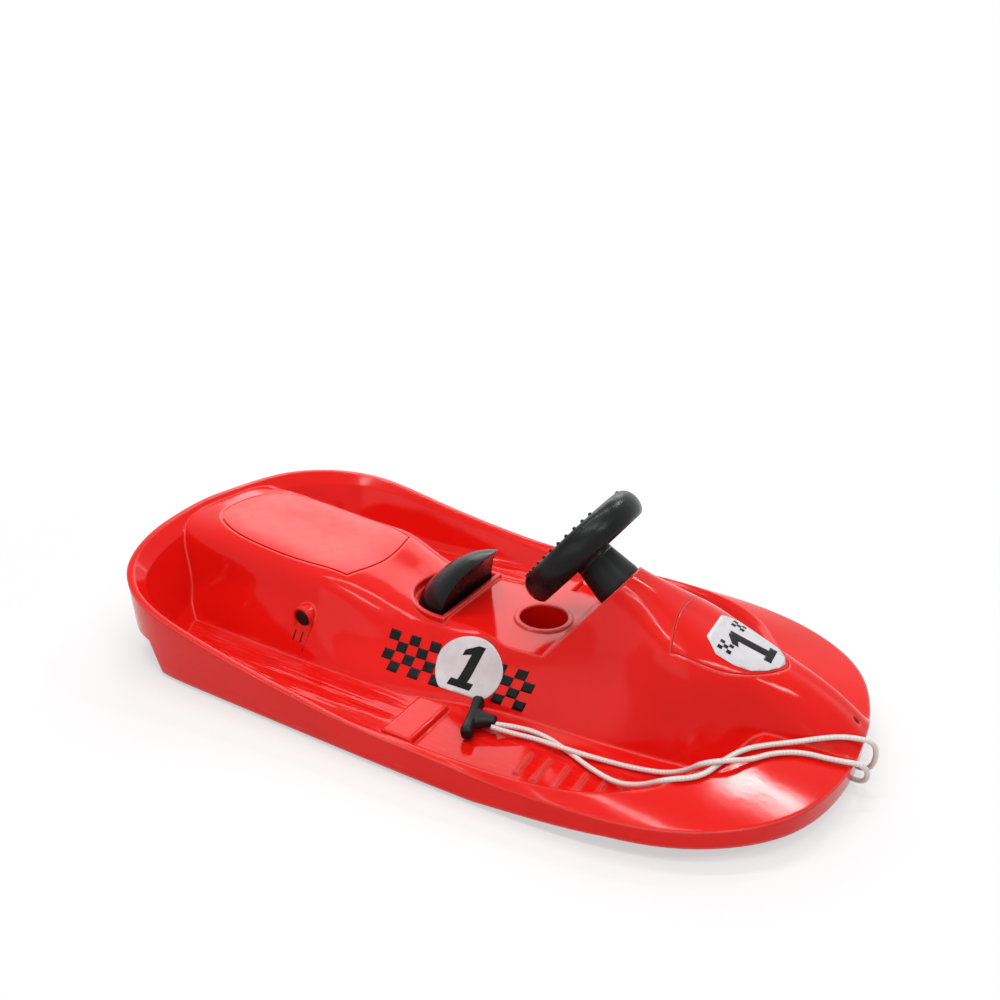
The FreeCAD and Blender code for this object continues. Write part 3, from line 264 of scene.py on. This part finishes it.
def rope_fibre():
    """Off-white braid: pale crowns, painted shade between the strands, with fine fibre noise."""
    s = Shader("rope braid", Specular_IOR_Level=0.25, Sheen_Weight=0.25, Sheen_Roughness=0.5)
    height = s.add("ShaderNodeAttribute", attribute_name="braid").outputs["Fac"]
    fibre = s.noise(1800.0, 3.0, None, 0.7)
    # Painted shade: darker grey where the braid's height is low, between the strands, mixed with
    # fibre noise
    gap_shade_and_fibre = s.math("ADD", s.times(height, 0.75), s.times(fibre, 0.35))
    colour = s.ramp(gap_shade_and_fibre, ROPE_GAP_SHADE, ROPE_CROWN, (0.30, 0.95))
    dirt = s.span(s.noise(38.0, 4.0), 0.55, 0.75, 0.0, 0.22)
    colour = s.mix(dirt, colour, ROPE_DIRT)
    rough = s.vary(fibre, 0.7, 0.9)
    normal = s.bump(fibre, 0.35, 0.0004)
    return s.set(Base_Color=colour, Roughness=rough, Normal=normal).material


def vinyl(name, low, high, specular):
    """Printed sticker film, slightly uneven in gloss."""
    s = Shader(name, Specular_IOR_Level=specular)
    colour = s.ramp(s.noise(75.0, 5.0), low, high)
    rough = s.vary(s.noise(50.0, 3.0), 0.24, 0.38)
    normal = s.bump(s.noise(110.0, 2.0), 0.05, 0.0006)
    return s.set(Base_Color=colour, Roughness=rough, Normal=normal).material


BLACK = black_plastic("trim black", (0.007, 0.0075, 0.008), (0.012, 0.0125, 0.013),
                      rough=0.36, grain_scale=900.0, grain=0.22, edge=0.0012)
GRIP = black_plastic("wheel black", (0.0035, 0.0038, 0.0042), (0.0065, 0.007, 0.0075),
                     rough=0.27, grain_scale=1100.0, grain=0.22, edge=0.0022)
DOME = black_plastic("dome black", (0.0022, 0.0022, 0.0025), (0.004, 0.004, 0.0044),
                     rough=0.25, grain_scale=1400.0, grain=0.08, edge=0.0022)
SLOT_MATERIAL = {
    "body_red": red_plastic(),
    "cover_red": cover_plastic(),
    "seat_red": seat_plastic(),
    "grip_black": GRIP,
    "trim_black": BLACK,
    "dome_black": DOME,
    "steel": steel(),
    "bush_white": nylon(),
    "rope_white": rope_fibre(),
}
WHITE_INK = vinyl("sticker white", (0.52, 0.505, 0.525), (0.58, 0.565, 0.585), 0.40)
# Black print on the stickers; the same black is the painted shade in the axle slots
BLACK_INK_AND_SLOT_SHADE = vinyl("sticker black and slot shade", (0.003, 0.003, 0.0035), (0.006, 0.006, 0.0065), 0.13)

for part in frame["record"]["subparts"]:
    mesh = nodes[part["node"]].data
    mesh.materials.clear()
    mesh.materials.append(SLOT_MATERIAL[part["material_slot"]])


def piece(name, mesh, material, body):
    """A visible object that rides on a body, with its material slot."""
    obj = bpy.data.objects.new(name, mesh)
    scene.collection.objects.link(obj)
    mesh.materials.append(material)
    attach(obj, body)
    return obj


def smooth_mesh(name, bm):
    """Mesh of a finished bmesh, which is freed."""
    mesh = bpy.data.meshes.new(name)
    bm.to_mesh(mesh)
    bm.free()
    mesh.shade_smooth()
    return mesh


def skin_rows(bm, rows):
    """Side faces between rows of vertices, a cap at each end, and all faces turned outwards."""
    count = len(rows[0])
    for low, high in zip(rows, rows[1:]):
        for k in range(count):
            n = (k + 1) % count
            bm.faces.new((low[k], low[n], high[n], high[k]))
    bm.faces.new(rows[0][::-1])
    bm.faces.new(rows[-1])
    bmesh.ops.recalc_face_normals(bm, faces=bm.faces[:])


# Tow rope: the routes' points in millimetres, from the knot under the nose to the handle's snout
LEFT_ROUTE = [
    (489, 10, 50), (489, 8, 8), (535, -10, 8), (535, -24, 64), (503, -36, 68.4), (478, -51, 66.4),
    (453, -65, 60), (428, -85, 59.5), (406, -108, 60.2), (391, -139, 58.6), (379, -174, 56),
    (347, -199, 57), (321, -189, 30), (291, -189, 18.4), (254, -180, 17.8), (216, -162, 15.6),
    (180, -149.5, 15.6), (147, -156, 21), (119, -173, 26),
]
RIGHT_ROUTE = [
    (489, -9, 50), (490, -18, 8), (533, -34, 8), (531, -56, 53), (495, -69, 54.5), (462, -76, 57),
    (435, -96, 58), (416, -122, 58.5), (398, -144, 66), (374, -158, 62), (358, -148, 38),
    (332, -141, 16.5), (294, -151, 15.6), (252, -157, 16), (218, -168.5, 23.5), (192, -165, 20),
    (166, -162, 16), (142, -172, 20.5), (119, -180, 26),
]
ROPE_RADIUS = 0.003
ROPE_STEP = 0.0007
CURVE_STEPS = 16
BRAID_AROUND = 28
BRAID_STRANDS = 8
BRAID_PITCH = 0.0088
BRAID_VALLEY, BRAID_RELIEF = 0.80, 0.20
BRAID_FULLNESS = 0.6
KNOT_CENTRE = Vector((0.489, 0.0005, 0.055))
KNOT_SIZE = 0.0029
KNOT_POINTS = 220


def spline_points(name, route):
    """Points of the route's smooth line, read from its NURBS spline."""
    curve = bpy.data.curves.new(name + "_line", "CURVE")
    curve.dimensions = "3D"
    curve.resolution_u = CURVE_STEPS
    spline = curve.splines.new("NURBS")
    spline.points.add(len(route) - 1)
    for point, place in zip(spline.points, route):
        point.co = (*[v * MM for v in place], 1.0)
    spline.order_u = 3
    spline.use_endpoint_u = True
    line = bpy.data.objects.new(name + "_line", curve)
    mesh = bpy.data.meshes.new_from_object(line)
    points = [v.co.copy() for v in mesh.vertices]
    bpy.data.objects.remove(line)
    bpy.data.meshes.remove(mesh)
    return points


def even_points(points, step):
    """The same line with points a step apart."""
    kept, left = [points[0]], step
    for a, b in zip(points, points[1:]):
        run = (b - a).length
        while run > left:
            a = a + (b - a) * (left / run)
            kept.append(a)
            run -= left
            left = step
        left -= run
    kept.append(points[-1])
    return kept


def braid_height(turn, travelled):
    """Share from 0 between the strands to 1 on their crowns, at a turn and a way along the rope."""
    round_part = BRAID_STRANDS * turn / 2
    along_part = 2 * math.pi * travelled / BRAID_PITCH
    a, b = (round_part + along_part) / 2, (round_part - along_part) / 2
    over = abs(math.cos(a) * math.cos(b)) ** BRAID_FULLNESS
    under = abs(math.sin(a) * math.sin(b)) ** BRAID_FULLNESS
    return min(over + under, 1.0)


def braid_mesh(name, points, radius, closed=False):
    """Tube with the diamond relief of a braid along a line."""
    count = len(points)
    side = None
    verts, heights, travelled = [], [], 0.0
    for i, p in enumerate(points):
        ahead = points[(i + 1) % count] if closed or i + 1 < count else p
        behind = points[i - 1] if closed or i else p
        along = (ahead - behind).normalized()
        if side is None:
            side = along.orthogonal().normalized()
        side = (side - along * side.dot(along)).normalized()
        over = along.cross(side)
        if i:
            travelled += (p - points[i - 1]).length
        for k in range(BRAID_AROUND):
            turn = 2 * math.pi * k / BRAID_AROUND
            height = braid_height(turn, travelled)
            reach = radius * (BRAID_VALLEY + BRAID_RELIEF * height)
            verts.append(p + (side * math.cos(turn) + over * math.sin(turn)) * reach)
            heights.append(height)
    faces = []
    for i in range(count if closed else count - 1):
        row, after = i * BRAID_AROUND, (i + 1) % count * BRAID_AROUND
        for k in range(BRAID_AROUND):
            n = (k + 1) % BRAID_AROUND
            faces.append((row + k, row + n, after + n, after + k))
    if not closed:
        faces.append(tuple(range(BRAID_AROUND - 1, -1, -1)))
        faces.append(tuple((count - 1) * BRAID_AROUND + k for k in range(BRAID_AROUND)))
    mesh = bpy.data.meshes.new(name)
    mesh.from_pydata(verts, [], faces)
    layer = mesh.attributes.new("braid", "FLOAT", "POINT")
    layer.data.foreach_set("value", heights)
    mesh.shade_smooth()
    return mesh


def make_rope(name, node, route):
    line = even_points(spline_points(name, route), ROPE_STEP)
    mesh = braid_mesh(name, line, ROPE_RADIUS)
    rope = piece(name, mesh, SLOT_MATERIAL["rope_white"], "chassis")
    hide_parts(node)
    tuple(line[0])


def make_knot():
    """Overhand knot that holds both rope ends under the nose."""
    line = []
    for i in range(KNOT_POINTS):
        t = 2 * math.pi * i / KNOT_POINTS
        x = math.sin(t) + 2 * math.sin(2 * t)
        y = math.cos(t) - 2 * math.cos(2 * t)
        z = -1.5 * math.sin(3 * t)
        line.append(KNOT_CENTRE + Vector((x, y, z)) * KNOT_SIZE)
    mesh = braid_mesh("knot", line, ROPE_RADIUS, True)
    knot = piece("knot", mesh, SLOT_MATERIAL["rope_white"], "chassis")
    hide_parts("rope_knot")
    return knot


# T-handle: places and half sizes in millimetres, other lengths in metres
GRIP_ENDS = [(102, -216, 23.4), (79, -139, 29.6)]
SNOUT = (119, -176.5, 26)
BAR_TRIM_LOW, BAR_TRIM_HIGH = 0.008, 0.0036
BAR_WIDTH, BAR_WIDTH_SWELL = 6.6, 2.2
BAR_HEIGHT, BAR_HEIGHT_SWELL = 9.0, 1.6
NECK_OVERHANG = 0.003
NECK_WIDTH, NECK_FLARE, NECK_FLARE_POWER = 7.6, 13.0, 2.2
NECK_HEIGHT, NECK_HEIGHT_FLARE = 6.8, 2.0
SECTION_POWER = 3.0
SECTION_RINGS, SECTION_AROUND = 28, 32
END_SIZE, END_SHARE = 0.6, 0.09
HANDLE_VOXEL = 0.0009
HANDLE_EASE, HANDLE_EASE_ROUNDS = 0.5, 8


def bar_shell(bm, start, along, length, across, over, widths, heights):
    """Closed bar of rounded-square sections, with half sizes by the share of its length."""
    rows = []
    for i in range(SECTION_RINGS):
        share = i / (SECTION_RINGS - 1)
        centre = start + along * (length * share)
        near_end = min(1.0, min(share, 1 - share) / END_SHARE)
        close = END_SIZE + (1 - END_SIZE) * math.sin(near_end * math.pi / 2)
        row = []
        for k in range(SECTION_AROUND):
            turn = 2 * math.pi * k / SECTION_AROUND
            c, n = math.cos(turn), math.sin(turn)
            u = math.copysign(abs(c) ** (2 / SECTION_POWER), c) * widths(share) * close
            v = math.copysign(abs(n) ** (2 / SECTION_POWER), n) * heights(share) * close
            row.append(bm.verts.new(centre + (across * u + over * v) * MM))
        rows.append(row)
    skin_rows(bm, rows)


def make_handle():
    """Moulded T-handle: a waisted bar and a flared neck for both strands, grown into one skin."""
    low, high, snout = [Vector(p) * MM for p in GRIP_ENDS + [SNOUT]]
    middle = (low + high) / 2
    along = (high - low).normalized()
    out = (snout - middle).normalized()
    out = (out - along * out.dot(along)).normalized()
    over = out.cross(along)
    bm = bmesh.new()
    bar_length = (high - low).length - BAR_TRIM_LOW - BAR_TRIM_HIGH
    bar_shell(bm, low + along * BAR_TRIM_LOW, along, bar_length, out, over,
              lambda t: BAR_WIDTH + BAR_WIDTH_SWELL * (2 * t - 1) ** 2,
              lambda t: BAR_HEIGHT + BAR_HEIGHT_SWELL * (2 * t - 1) ** 2)
    neck_length = (snout - middle).length + NECK_OVERHANG
    bar_shell(bm, middle, out, neck_length, along, over,
              lambda t: NECK_WIDTH + NECK_FLARE * (1 - t) ** NECK_FLARE_POWER,
              lambda t: NECK_HEIGHT + NECK_HEIGHT_FLARE * (1 - t))
    rough = bpy.data.objects.new("handle_rough", smooth_mesh("handle_rough", bm))
    scene.collection.objects.link(rough)
    skin = rough.modifiers.new("skin", "REMESH")
    skin.mode = "VOXEL"
    skin.voxel_size = HANDLE_VOXEL
    ease = rough.modifiers.new("ease", "SMOOTH")
    ease.factor = HANDLE_EASE
    ease.iterations = HANDLE_EASE_ROUNDS
    grown = rough.evaluated_get(bpy.context.evaluated_depsgraph_get())
    mesh = bpy.data.meshes.new_from_object(grown)
    bpy.data.objects.remove(rough)
    mesh.name = "handle"
    mesh.materials.clear()
    mesh.shade_smooth()
    handle = piece("handle", mesh, BLACK, "chassis")
    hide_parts("tow_handle")
    return handle


knot = make_knot()
handle = make_handle()
make_rope("rope_left", "tow_rope_left", LEFT_ROUTE)
make_rope("rope_right", "tow_rope_right", RIGHT_ROUTE)


# Stickers: flat outlines in millimetres on a plane, which is an origin in metres and directions
# across and up. They are cut into small faces and laid on the surface under them. Lifts, the
# film's thickness and the start of the rays are in metres.
RAY_START = 0.08
STICKER_CELL = 4.0
CELL_OFFSET = 1.37
MERGE_DISTANCE = 0.02
FILM_THICKNESS = 0.00016
FIT_STEP = 3.0
FIT_DEGREE = 6
CHEQUER_LIFT, ROUNDEL_LIFT, NUMBER_LIFT = 0.00025, 0.0004, 0.0007
SHIELD_LIFT, SHIELD_PRINT_LIFT = 0.0006, 0.0009
# Lift of the black sheets of painted shade in the axle slots
SLOT_SHADE_LIFT = 0.0002
ROUNDEL_PLACE = (0.0455, 0.1099, 0.0498)
WALL_LEAN = (0.58, 0.81)
ROUNDEL_SIZE = (98, 82)
ROUNDEL_POINTS = 64
ROUNDEL_DEEPER, ROUNDEL_FOOT = 1.15, -37.5
NUMBER_HEIGHT, NUMBER_LEAN = 60, 0.22
BOARD_BEFORE = {"u": -128.7, "v": -38.6, "columns": 6, "rows": 4, "width": 16.4, "height": 14.0,
                "lean": -0.05, "odd": 1}
BOARD_AFTER = {"u": 25.8, "v": -34.4, "columns": 4, "rows": 4, "width": 15.4, "height": 13.0,
               "lean": 0.22, "odd": 1}
SHIELD_PLANE = ((0.375, 0.0, 0.13), (1, 0, 0), (0, 1, 0))
SHIELD = [
    (-47, -30), (-47, 30), (-30, 46), (-8, 45), (12, 39), (28, 28), (38, 14), (42, 0), (38, -14),
    (28, -28), (12, -39), (-8, -45), (-30, -46),
]
SHIELD_NUMBER_HEIGHT = 56
SHIELD_CHECKS = {"u": -32, "columns": 3, "rows": 3, "width": 5.5, "height": 5.5}
SHIELD_CHECK_PLACES = (20, -36)
NUMERAL = [
    (-0.26, -0.5), (0.29, -0.5), (0.29, -0.34), (0.14, -0.34), (0.14, 0.5), (-0.04, 0.5),
    (-0.30, 0.34), (-0.30, 0.20), (-0.10, 0.27), (-0.10, -0.34), (-0.26, -0.34),
]


def surface_of(node):
    mesh = nodes[node].data
    corners = [v.co for v in mesh.vertices]
    return BVHTree.FromPolygons(corners, [p.vertices for p in mesh.polygons])


def axes_of(plane):
    """Origin and unit directions across, up and out of a plane."""
    origin, across, up = plane
    across, up = Vector(across).normalized(), Vector(up).normalized()
    return Vector(origin), across, up, across.cross(up).normalized()


def drop_on(tree, plane):
    """Function that gives a surface's height over a plane, at a place in millimetres."""
    origin, across, up, out = axes_of(plane)

    def height(u, v):
        start = origin + (across * u + up * v) * MM + out * RAY_START
        spot = tree.ray_cast(start, -out)[0] or tree.find_nearest(start)[0]
        return RAY_START - (start - spot).dot(out)

    return height


def inside(outline, u, v):
    crossings = 0
    for (a, b), (c, d) in zip(outline, outline[1:] + outline[:1]):
        if (b > v) != (d > v) and u < a + (v - b) / (d - b) * (c - a):
            crossings += 1
    return crossings % 2 == 1


def eased(height, outline):
    """Smooth polynomial over the facets inside an outline, raised until none stands out of it."""
    reach = max(max(abs(u), abs(v)) for u, v in outline)
    steps = round(reach / FIT_STEP)
    grid = [i * FIT_STEP for i in range(-steps, steps + 1)]
    places = outline + [(u, v) for u in grid for v in grid if inside(outline, u, v)]
    powers = [(i, j) for i in range(FIT_DEGREE + 1) for j in range(FIT_DEGREE + 1 - i)]

    def terms(u, v):
        return [(u / reach) ** i * (v / reach) ** j for i, j in powers]

    rows = np.array([terms(u, v) for u, v in places])
    real = np.array([height(u, v) for u, v in places])
    shares = np.linalg.lstsq(rows, real, rcond=None)[0]
    raised = max(real - rows @ shares)
    return lambda u, v: float(np.dot(terms(u, v), shares) + raised)


def lay_sticker(name, outlines, plane, height, lift, material):
    """Outlines on a plane, dropped on the surface under them and lifted clear of it."""
    origin, across, up, out = axes_of(plane)
    bm = bmesh.new()
    for outline in outlines:
        bm.faces.new([bm.verts.new((u, v, 0)) for u, v in outline])
    bm.normal_update()
    bmesh.ops.triangulate(bm, faces=bm.faces[:])
    for axis, normal in enumerate((Vector((1, 0, 0)), Vector((0, 1, 0)))):
        values = [v.co[axis] for v in bm.verts]
        first = math.floor(min(values) / STICKER_CELL) * STICKER_CELL
        place = first + STICKER_CELL * CELL_OFFSET
        while place < max(values):
            everything = bm.verts[:] + bm.edges[:] + bm.faces[:]
            bmesh.ops.bisect_plane(bm, geom=everything, plane_co=normal * place, plane_no=normal)
            place += STICKER_CELL
    bmesh.ops.remove_doubles(bm, verts=bm.verts[:], dist=MERGE_DISTANCE)
    bmesh.ops.triangulate(bm, faces=bm.faces[:])
    for v in bm.verts:
        flat = origin + (across * v.co.x + up * v.co.y) * MM
        v.co = flat + out * (height(v.co.x, v.co.y) + lift)
    bm.normal_update()
    sticker = piece(name, smooth_mesh(name, bm), material, "chassis")
    film = sticker.modifiers.new("film", "SOLIDIFY")
    film.thickness = FILM_THICKNESS
    film.offset = 1.0


def oval(width, height):
    turns = [2 * math.pi * i / ROUNDEL_POINTS for i in range(ROUNDEL_POINTS)]
    return [(width / 2 * math.cos(turn), height / 2 * math.sin(turn)) for turn in turns]


def numeral(height, lean):
    """Plain slab-serif 1."""
    return [((x + lean * y) * height, y * height) for x, y in NUMERAL]


def chequers(u, v, columns, rows, width, height, lean=0.0, odd=0):
    """Every other square of a board whose first corner is at u, v."""
    squares = []
    for i in range(columns):
        for j in range(rows):
            if (i + j) % 2 == odd:
                corners = [(i, j), (i + 1, j), (i + 1, j + 1), (i, j + 1)]
                squares.append([(u + a * width + lean * b * height, v + b * height)
                                for a, b in corners])
    return squares


def wall_stickers(label, side):
    """Number roundel between two chequered boards on one side of the hump."""
    x, y, z = ROUNDEL_PLACE
    inwards, upwards = WALL_LEAN
    plane = ((x, side * y, z), (-side, 0, 0), (0, -side * inwards, upwards))
    wall = drop_on(hull_surface, plane)
    boards = chequers(**BOARD_BEFORE) + chequers(**BOARD_AFTER)
    lay_sticker("chequers_" + label, boards, plane, wall, CHEQUER_LIFT, BLACK_INK_AND_SLOT_SHADE)
    roundel = [(u, max(ROUNDEL_DEEPER * v, ROUNDEL_FOOT) if v < 0 else v)
               for u, v in oval(*ROUNDEL_SIZE)]
    wall = eased(wall, roundel)
    lay_sticker("roundel_" + label, [roundel], plane, wall, ROUNDEL_LIFT, WHITE_INK)
    one = numeral(NUMBER_HEIGHT, NUMBER_LEAN)
    lay_sticker("number_" + label, [one], plane, wall, NUMBER_LIFT, BLACK_INK_AND_SLOT_SHADE)


def hood_stickers():
    """Shield on the hood cover, with a number that reads from the front and two sets of checks."""
    crown = eased(drop_on(surface_of("hood_cover"), SHIELD_PLANE), SHIELD)
    lay_sticker("shield", [SHIELD], SHIELD_PLANE, crown, SHIELD_LIFT, WHITE_INK)
    one = [(-y, x) for x, y in numeral(SHIELD_NUMBER_HEIGHT, 0.0)]
    checks = [square for v in SHIELD_CHECK_PLACES for square in chequers(v=v, **SHIELD_CHECKS)]
    for name, outlines in (("shield_number", [one]), ("shield_checks", checks)):
        lay_sticker(name, outlines, SHIELD_PLANE, crown, SHIELD_PRINT_LIFT, BLACK_INK_AND_SLOT_SHADE)


hull_surface = surface_of("hull")
wall_stickers("right", -1)
wall_stickers("left", 1)
hood_stickers()


# Axle bosses: raised brow over each plug with a long and a short leg, and under it two black sheets
# of painted shade where the slots are.
# Millimetres, measured from the axle. A point of the brow is x, z, its width and its rise.
AXLE_X, AXLE_Z = -216.84, 63.0
BROW_RADIUS, BROW_WIDTH, BROW_RISE = 14.8, 5.0, 4.8
BROW_SINK = 1.5
BROW_AROUND = 16
LONG_FOOT = (12.3, -40.0, 1.6, 0.8)
SHORT_FOOT = (-13.8, -15.0, 2.6, 0.8)
LONG_POINTS, ARCH_STEPS, SHORT_POINTS = 9, 24, 6
BROW_RAY_START, SLOT_PLANE = 230, 150  # from the middle of the sled
SLOT_PLACES, SLOT_HALF_WIDTH, SLOT_LOW, SLOT_HIGH = (-8.5, 4.5), 1.0, -31, -18


def between(start, end, count):
    """Points at even steps from one point to another."""
    shares = [i / (count - 1) for i in range(count)]
    return [tuple(a + (b - a) * share for a, b in zip(start, end)) for share in shares]


def brow_path():
    path = between(LONG_FOOT, (BROW_RADIUS, 0, BROW_WIDTH, BROW_RISE), LONG_POINTS)
    for i in range(1, ARCH_STEPS):
        turn = math.pi * i / ARCH_STEPS
        x, z = BROW_RADIUS * math.cos(turn), BROW_RADIUS * math.sin(turn)
        path.append((x, z, BROW_WIDTH, BROW_RISE))
    return path + between((-BROW_RADIUS, 0, BROW_WIDTH, BROW_RISE), SHORT_FOOT, SHORT_POINTS)


def axle_brow(label, side):
    out = Vector((0, side, 0))
    path = brow_path()
    bm = bmesh.new()
    rows = []
    for i, (dx, dz, width, rise) in enumerate(path):
        ahead, behind = path[min(i + 1, len(path) - 1)], path[max(i - 1, 0)]
        along = Vector((ahead[0] - behind[0], 0, ahead[1] - behind[1])).normalized()
        beside = along.cross(out)
        start = Vector((AXLE_X + dx, side * BROW_RAY_START, AXLE_Z + dz)) * MM
        base = hull_surface.ray_cast(start, -out)[0]
        row = []
        for k in range(BROW_AROUND):
            turn = 2 * math.pi * k / BROW_AROUND
            lift = math.sin(turn) * (rise if k <= BROW_AROUND / 2 else BROW_SINK)
            shift = beside * (math.cos(turn) * width / 2) + out * lift
            row.append(bm.verts.new(base + shift * MM))
        rows.append(row)
    skin_rows(bm, rows)
    name = "axle_brow_" + label
    piece(name, smooth_mesh(name, bm), SLOT_MATERIAL["body_red"], "chassis")
    # Painted shade: flat black sheets laid where the slots are, in place of their shade
    slot_shades = []
    for u in SLOT_PLACES:
        low, high = u - SLOT_HALF_WIDTH, u + SLOT_HALF_WIDTH
        slot_shades.append([(low, SLOT_LOW), (high, SLOT_LOW), (high, SLOT_HIGH), (low, SLOT_HIGH)])
    plane = (Vector((AXLE_X, side * SLOT_PLANE, AXLE_Z)) * MM, (-side, 0, 0), (0, 0, 1))
    wall = drop_on(hull_surface, plane)
    lay_sticker("axle_slot_shade_" + label, slot_shades, plane, wall, SLOT_SHADE_LIFT, BLACK_INK_AND_SLOT_SHADE)


axle_brow("right", -1)
axle_brow("left", 1)


# Studio, in metres and watts: pale floor, bright surroundings, soft boxes
FLOOR_HALF = 14
FLOOR_GREY = 0.80
GLOW_NEAR, GLOW_FAR = 0.45, 1.1
GLOW_SHARE = 0.5
WORLD_STRENGTH = 0.42
WHITE = (1, 1, 1, 1)
SOFT_BOXES = [
    ("back_box", (-1.25, 2.1, 1.55), (0.0, 0.0, 0.1), 2.4, 1.3, 28.0),
    ("top_box", (0.1, -0.5, 2.2), (0.0, 0.0, 0.0), 1.8, 1.4, 5.0),
    ("strip_box", (-0.3, 0.15, 1.9), (-0.2, 0.0, 0.0), 1.7, 0.035, 12.0),
    ("ridge_box", (0.28, -0.65, 2.0), (0.2, 0.0, 0.0), 1.2, 0.04, 9.0),
    ("window_box", (0.47, 1.54, 2.0), (0.45, -0.15, 0.05), 0.36, 0.1, 8.0),
    ("nose_box", (1.59, -0.54, 2.0), (0.42, -0.04, 0.1), 0.4, 0.14, 7.0),
    ("front_box", (0.0, -2.6, 1.5), (0.0, 0.0, 0.1), 3.2, 1.6, 17.0),
]


def background_rays(tree):
    """Share of 1 for camera, transmission and glossy rays, and of 0 for all other rays."""
    rays = tree.nodes.new("ShaderNodeLightPath").outputs
    seen = rays["Is Camera Ray"]
    for kind in ("Is Transmission Ray", "Is Glossy Ray"):
        either = tree.nodes.new("ShaderNodeMath")
        either.operation = "MAXIMUM"
        tree.links.new(seen, either.inputs[0])
        tree.links.new(rays[kind], either.inputs[1])
        seen = either.outputs[0]
    return seen


def studio_floor():
    """Matt floor that keeps the shadow, and glows white more and more away from the object."""
    mesh = bpy.data.meshes.new("floor")
    corners = [(-1, -1), (1, -1), (1, 1), (-1, 1)]
    mesh.from_pydata([(x * FLOOR_HALF, y * FLOOR_HALF, 0) for x, y in corners], [], [(0, 1, 2, 3)])
    floor = bpy.data.objects.new("floor", mesh)
    scene.collection.objects.link(floor)
    s = Shader("studio floor")
    matt = s.add("ShaderNodeBsdfDiffuse", {"Color": (FLOOR_GREY, FLOOR_GREY, FLOOR_GREY, 1)})
    glow = s.add("ShaderNodeEmission", {"Color": WHITE, "Strength": 1.0})
    x, y = s.add("ShaderNodeSeparateXYZ", {0: s.place}).outputs[:2]
    away = s.math("SQRT", s.math("ADD", s.times(x, x), s.times(y, y)))
    share = s.times(background_rays(s.tree), s.span(away, GLOW_NEAR, GLOW_FAR, GLOW_SHARE, 1.0))
    mix = s.add("ShaderNodeMixShader", {0: share, 1: matt.outputs[0], 2: glow.outputs[0]})
    s.plug(s.tree.nodes["Material Output"].inputs["Surface"], mix.outputs[0])
    mesh.materials.append(s.material)


def studio_world():
    """Soft white light from all round, and plain white where the surroundings are seen."""
    world = bpy.data.worlds.new("studio")
    scene.world = world
    world.use_nodes = True
    tree = world.node_tree
    soft = tree.nodes["Background"]
    plain = tree.nodes.new("ShaderNodeBackground")
    for light, strength in ((soft, WORLD_STRENGTH), (plain, 1.0)):
        light.inputs["Color"].default_value = WHITE
        light.inputs["Strength"].default_value = strength
    mix = tree.nodes.new("ShaderNodeMixShader")
    for socket, source in enumerate((background_rays(tree), soft.outputs[0], plain.outputs[0])):
        tree.links.new(source, mix.inputs[socket])
    tree.links.new(mix.outputs[0], tree.nodes["World Output"].inputs["Surface"])


def soft_box(name, place, target, width, height, watts):
    lamp = bpy.data.lights.new(name, "AREA")
    lamp.shape = "RECTANGLE"
    lamp.size, lamp.size_y = width, height
    lamp.energy = watts
    obj = bpy.data.objects.new(name, lamp)
    scene.collection.objects.link(obj)
    obj.location = place
    obj.rotation_euler = facing(place, target)


studio_floor()
studio_world()
for box in SOFT_BOXES:
    soft_box(*box)
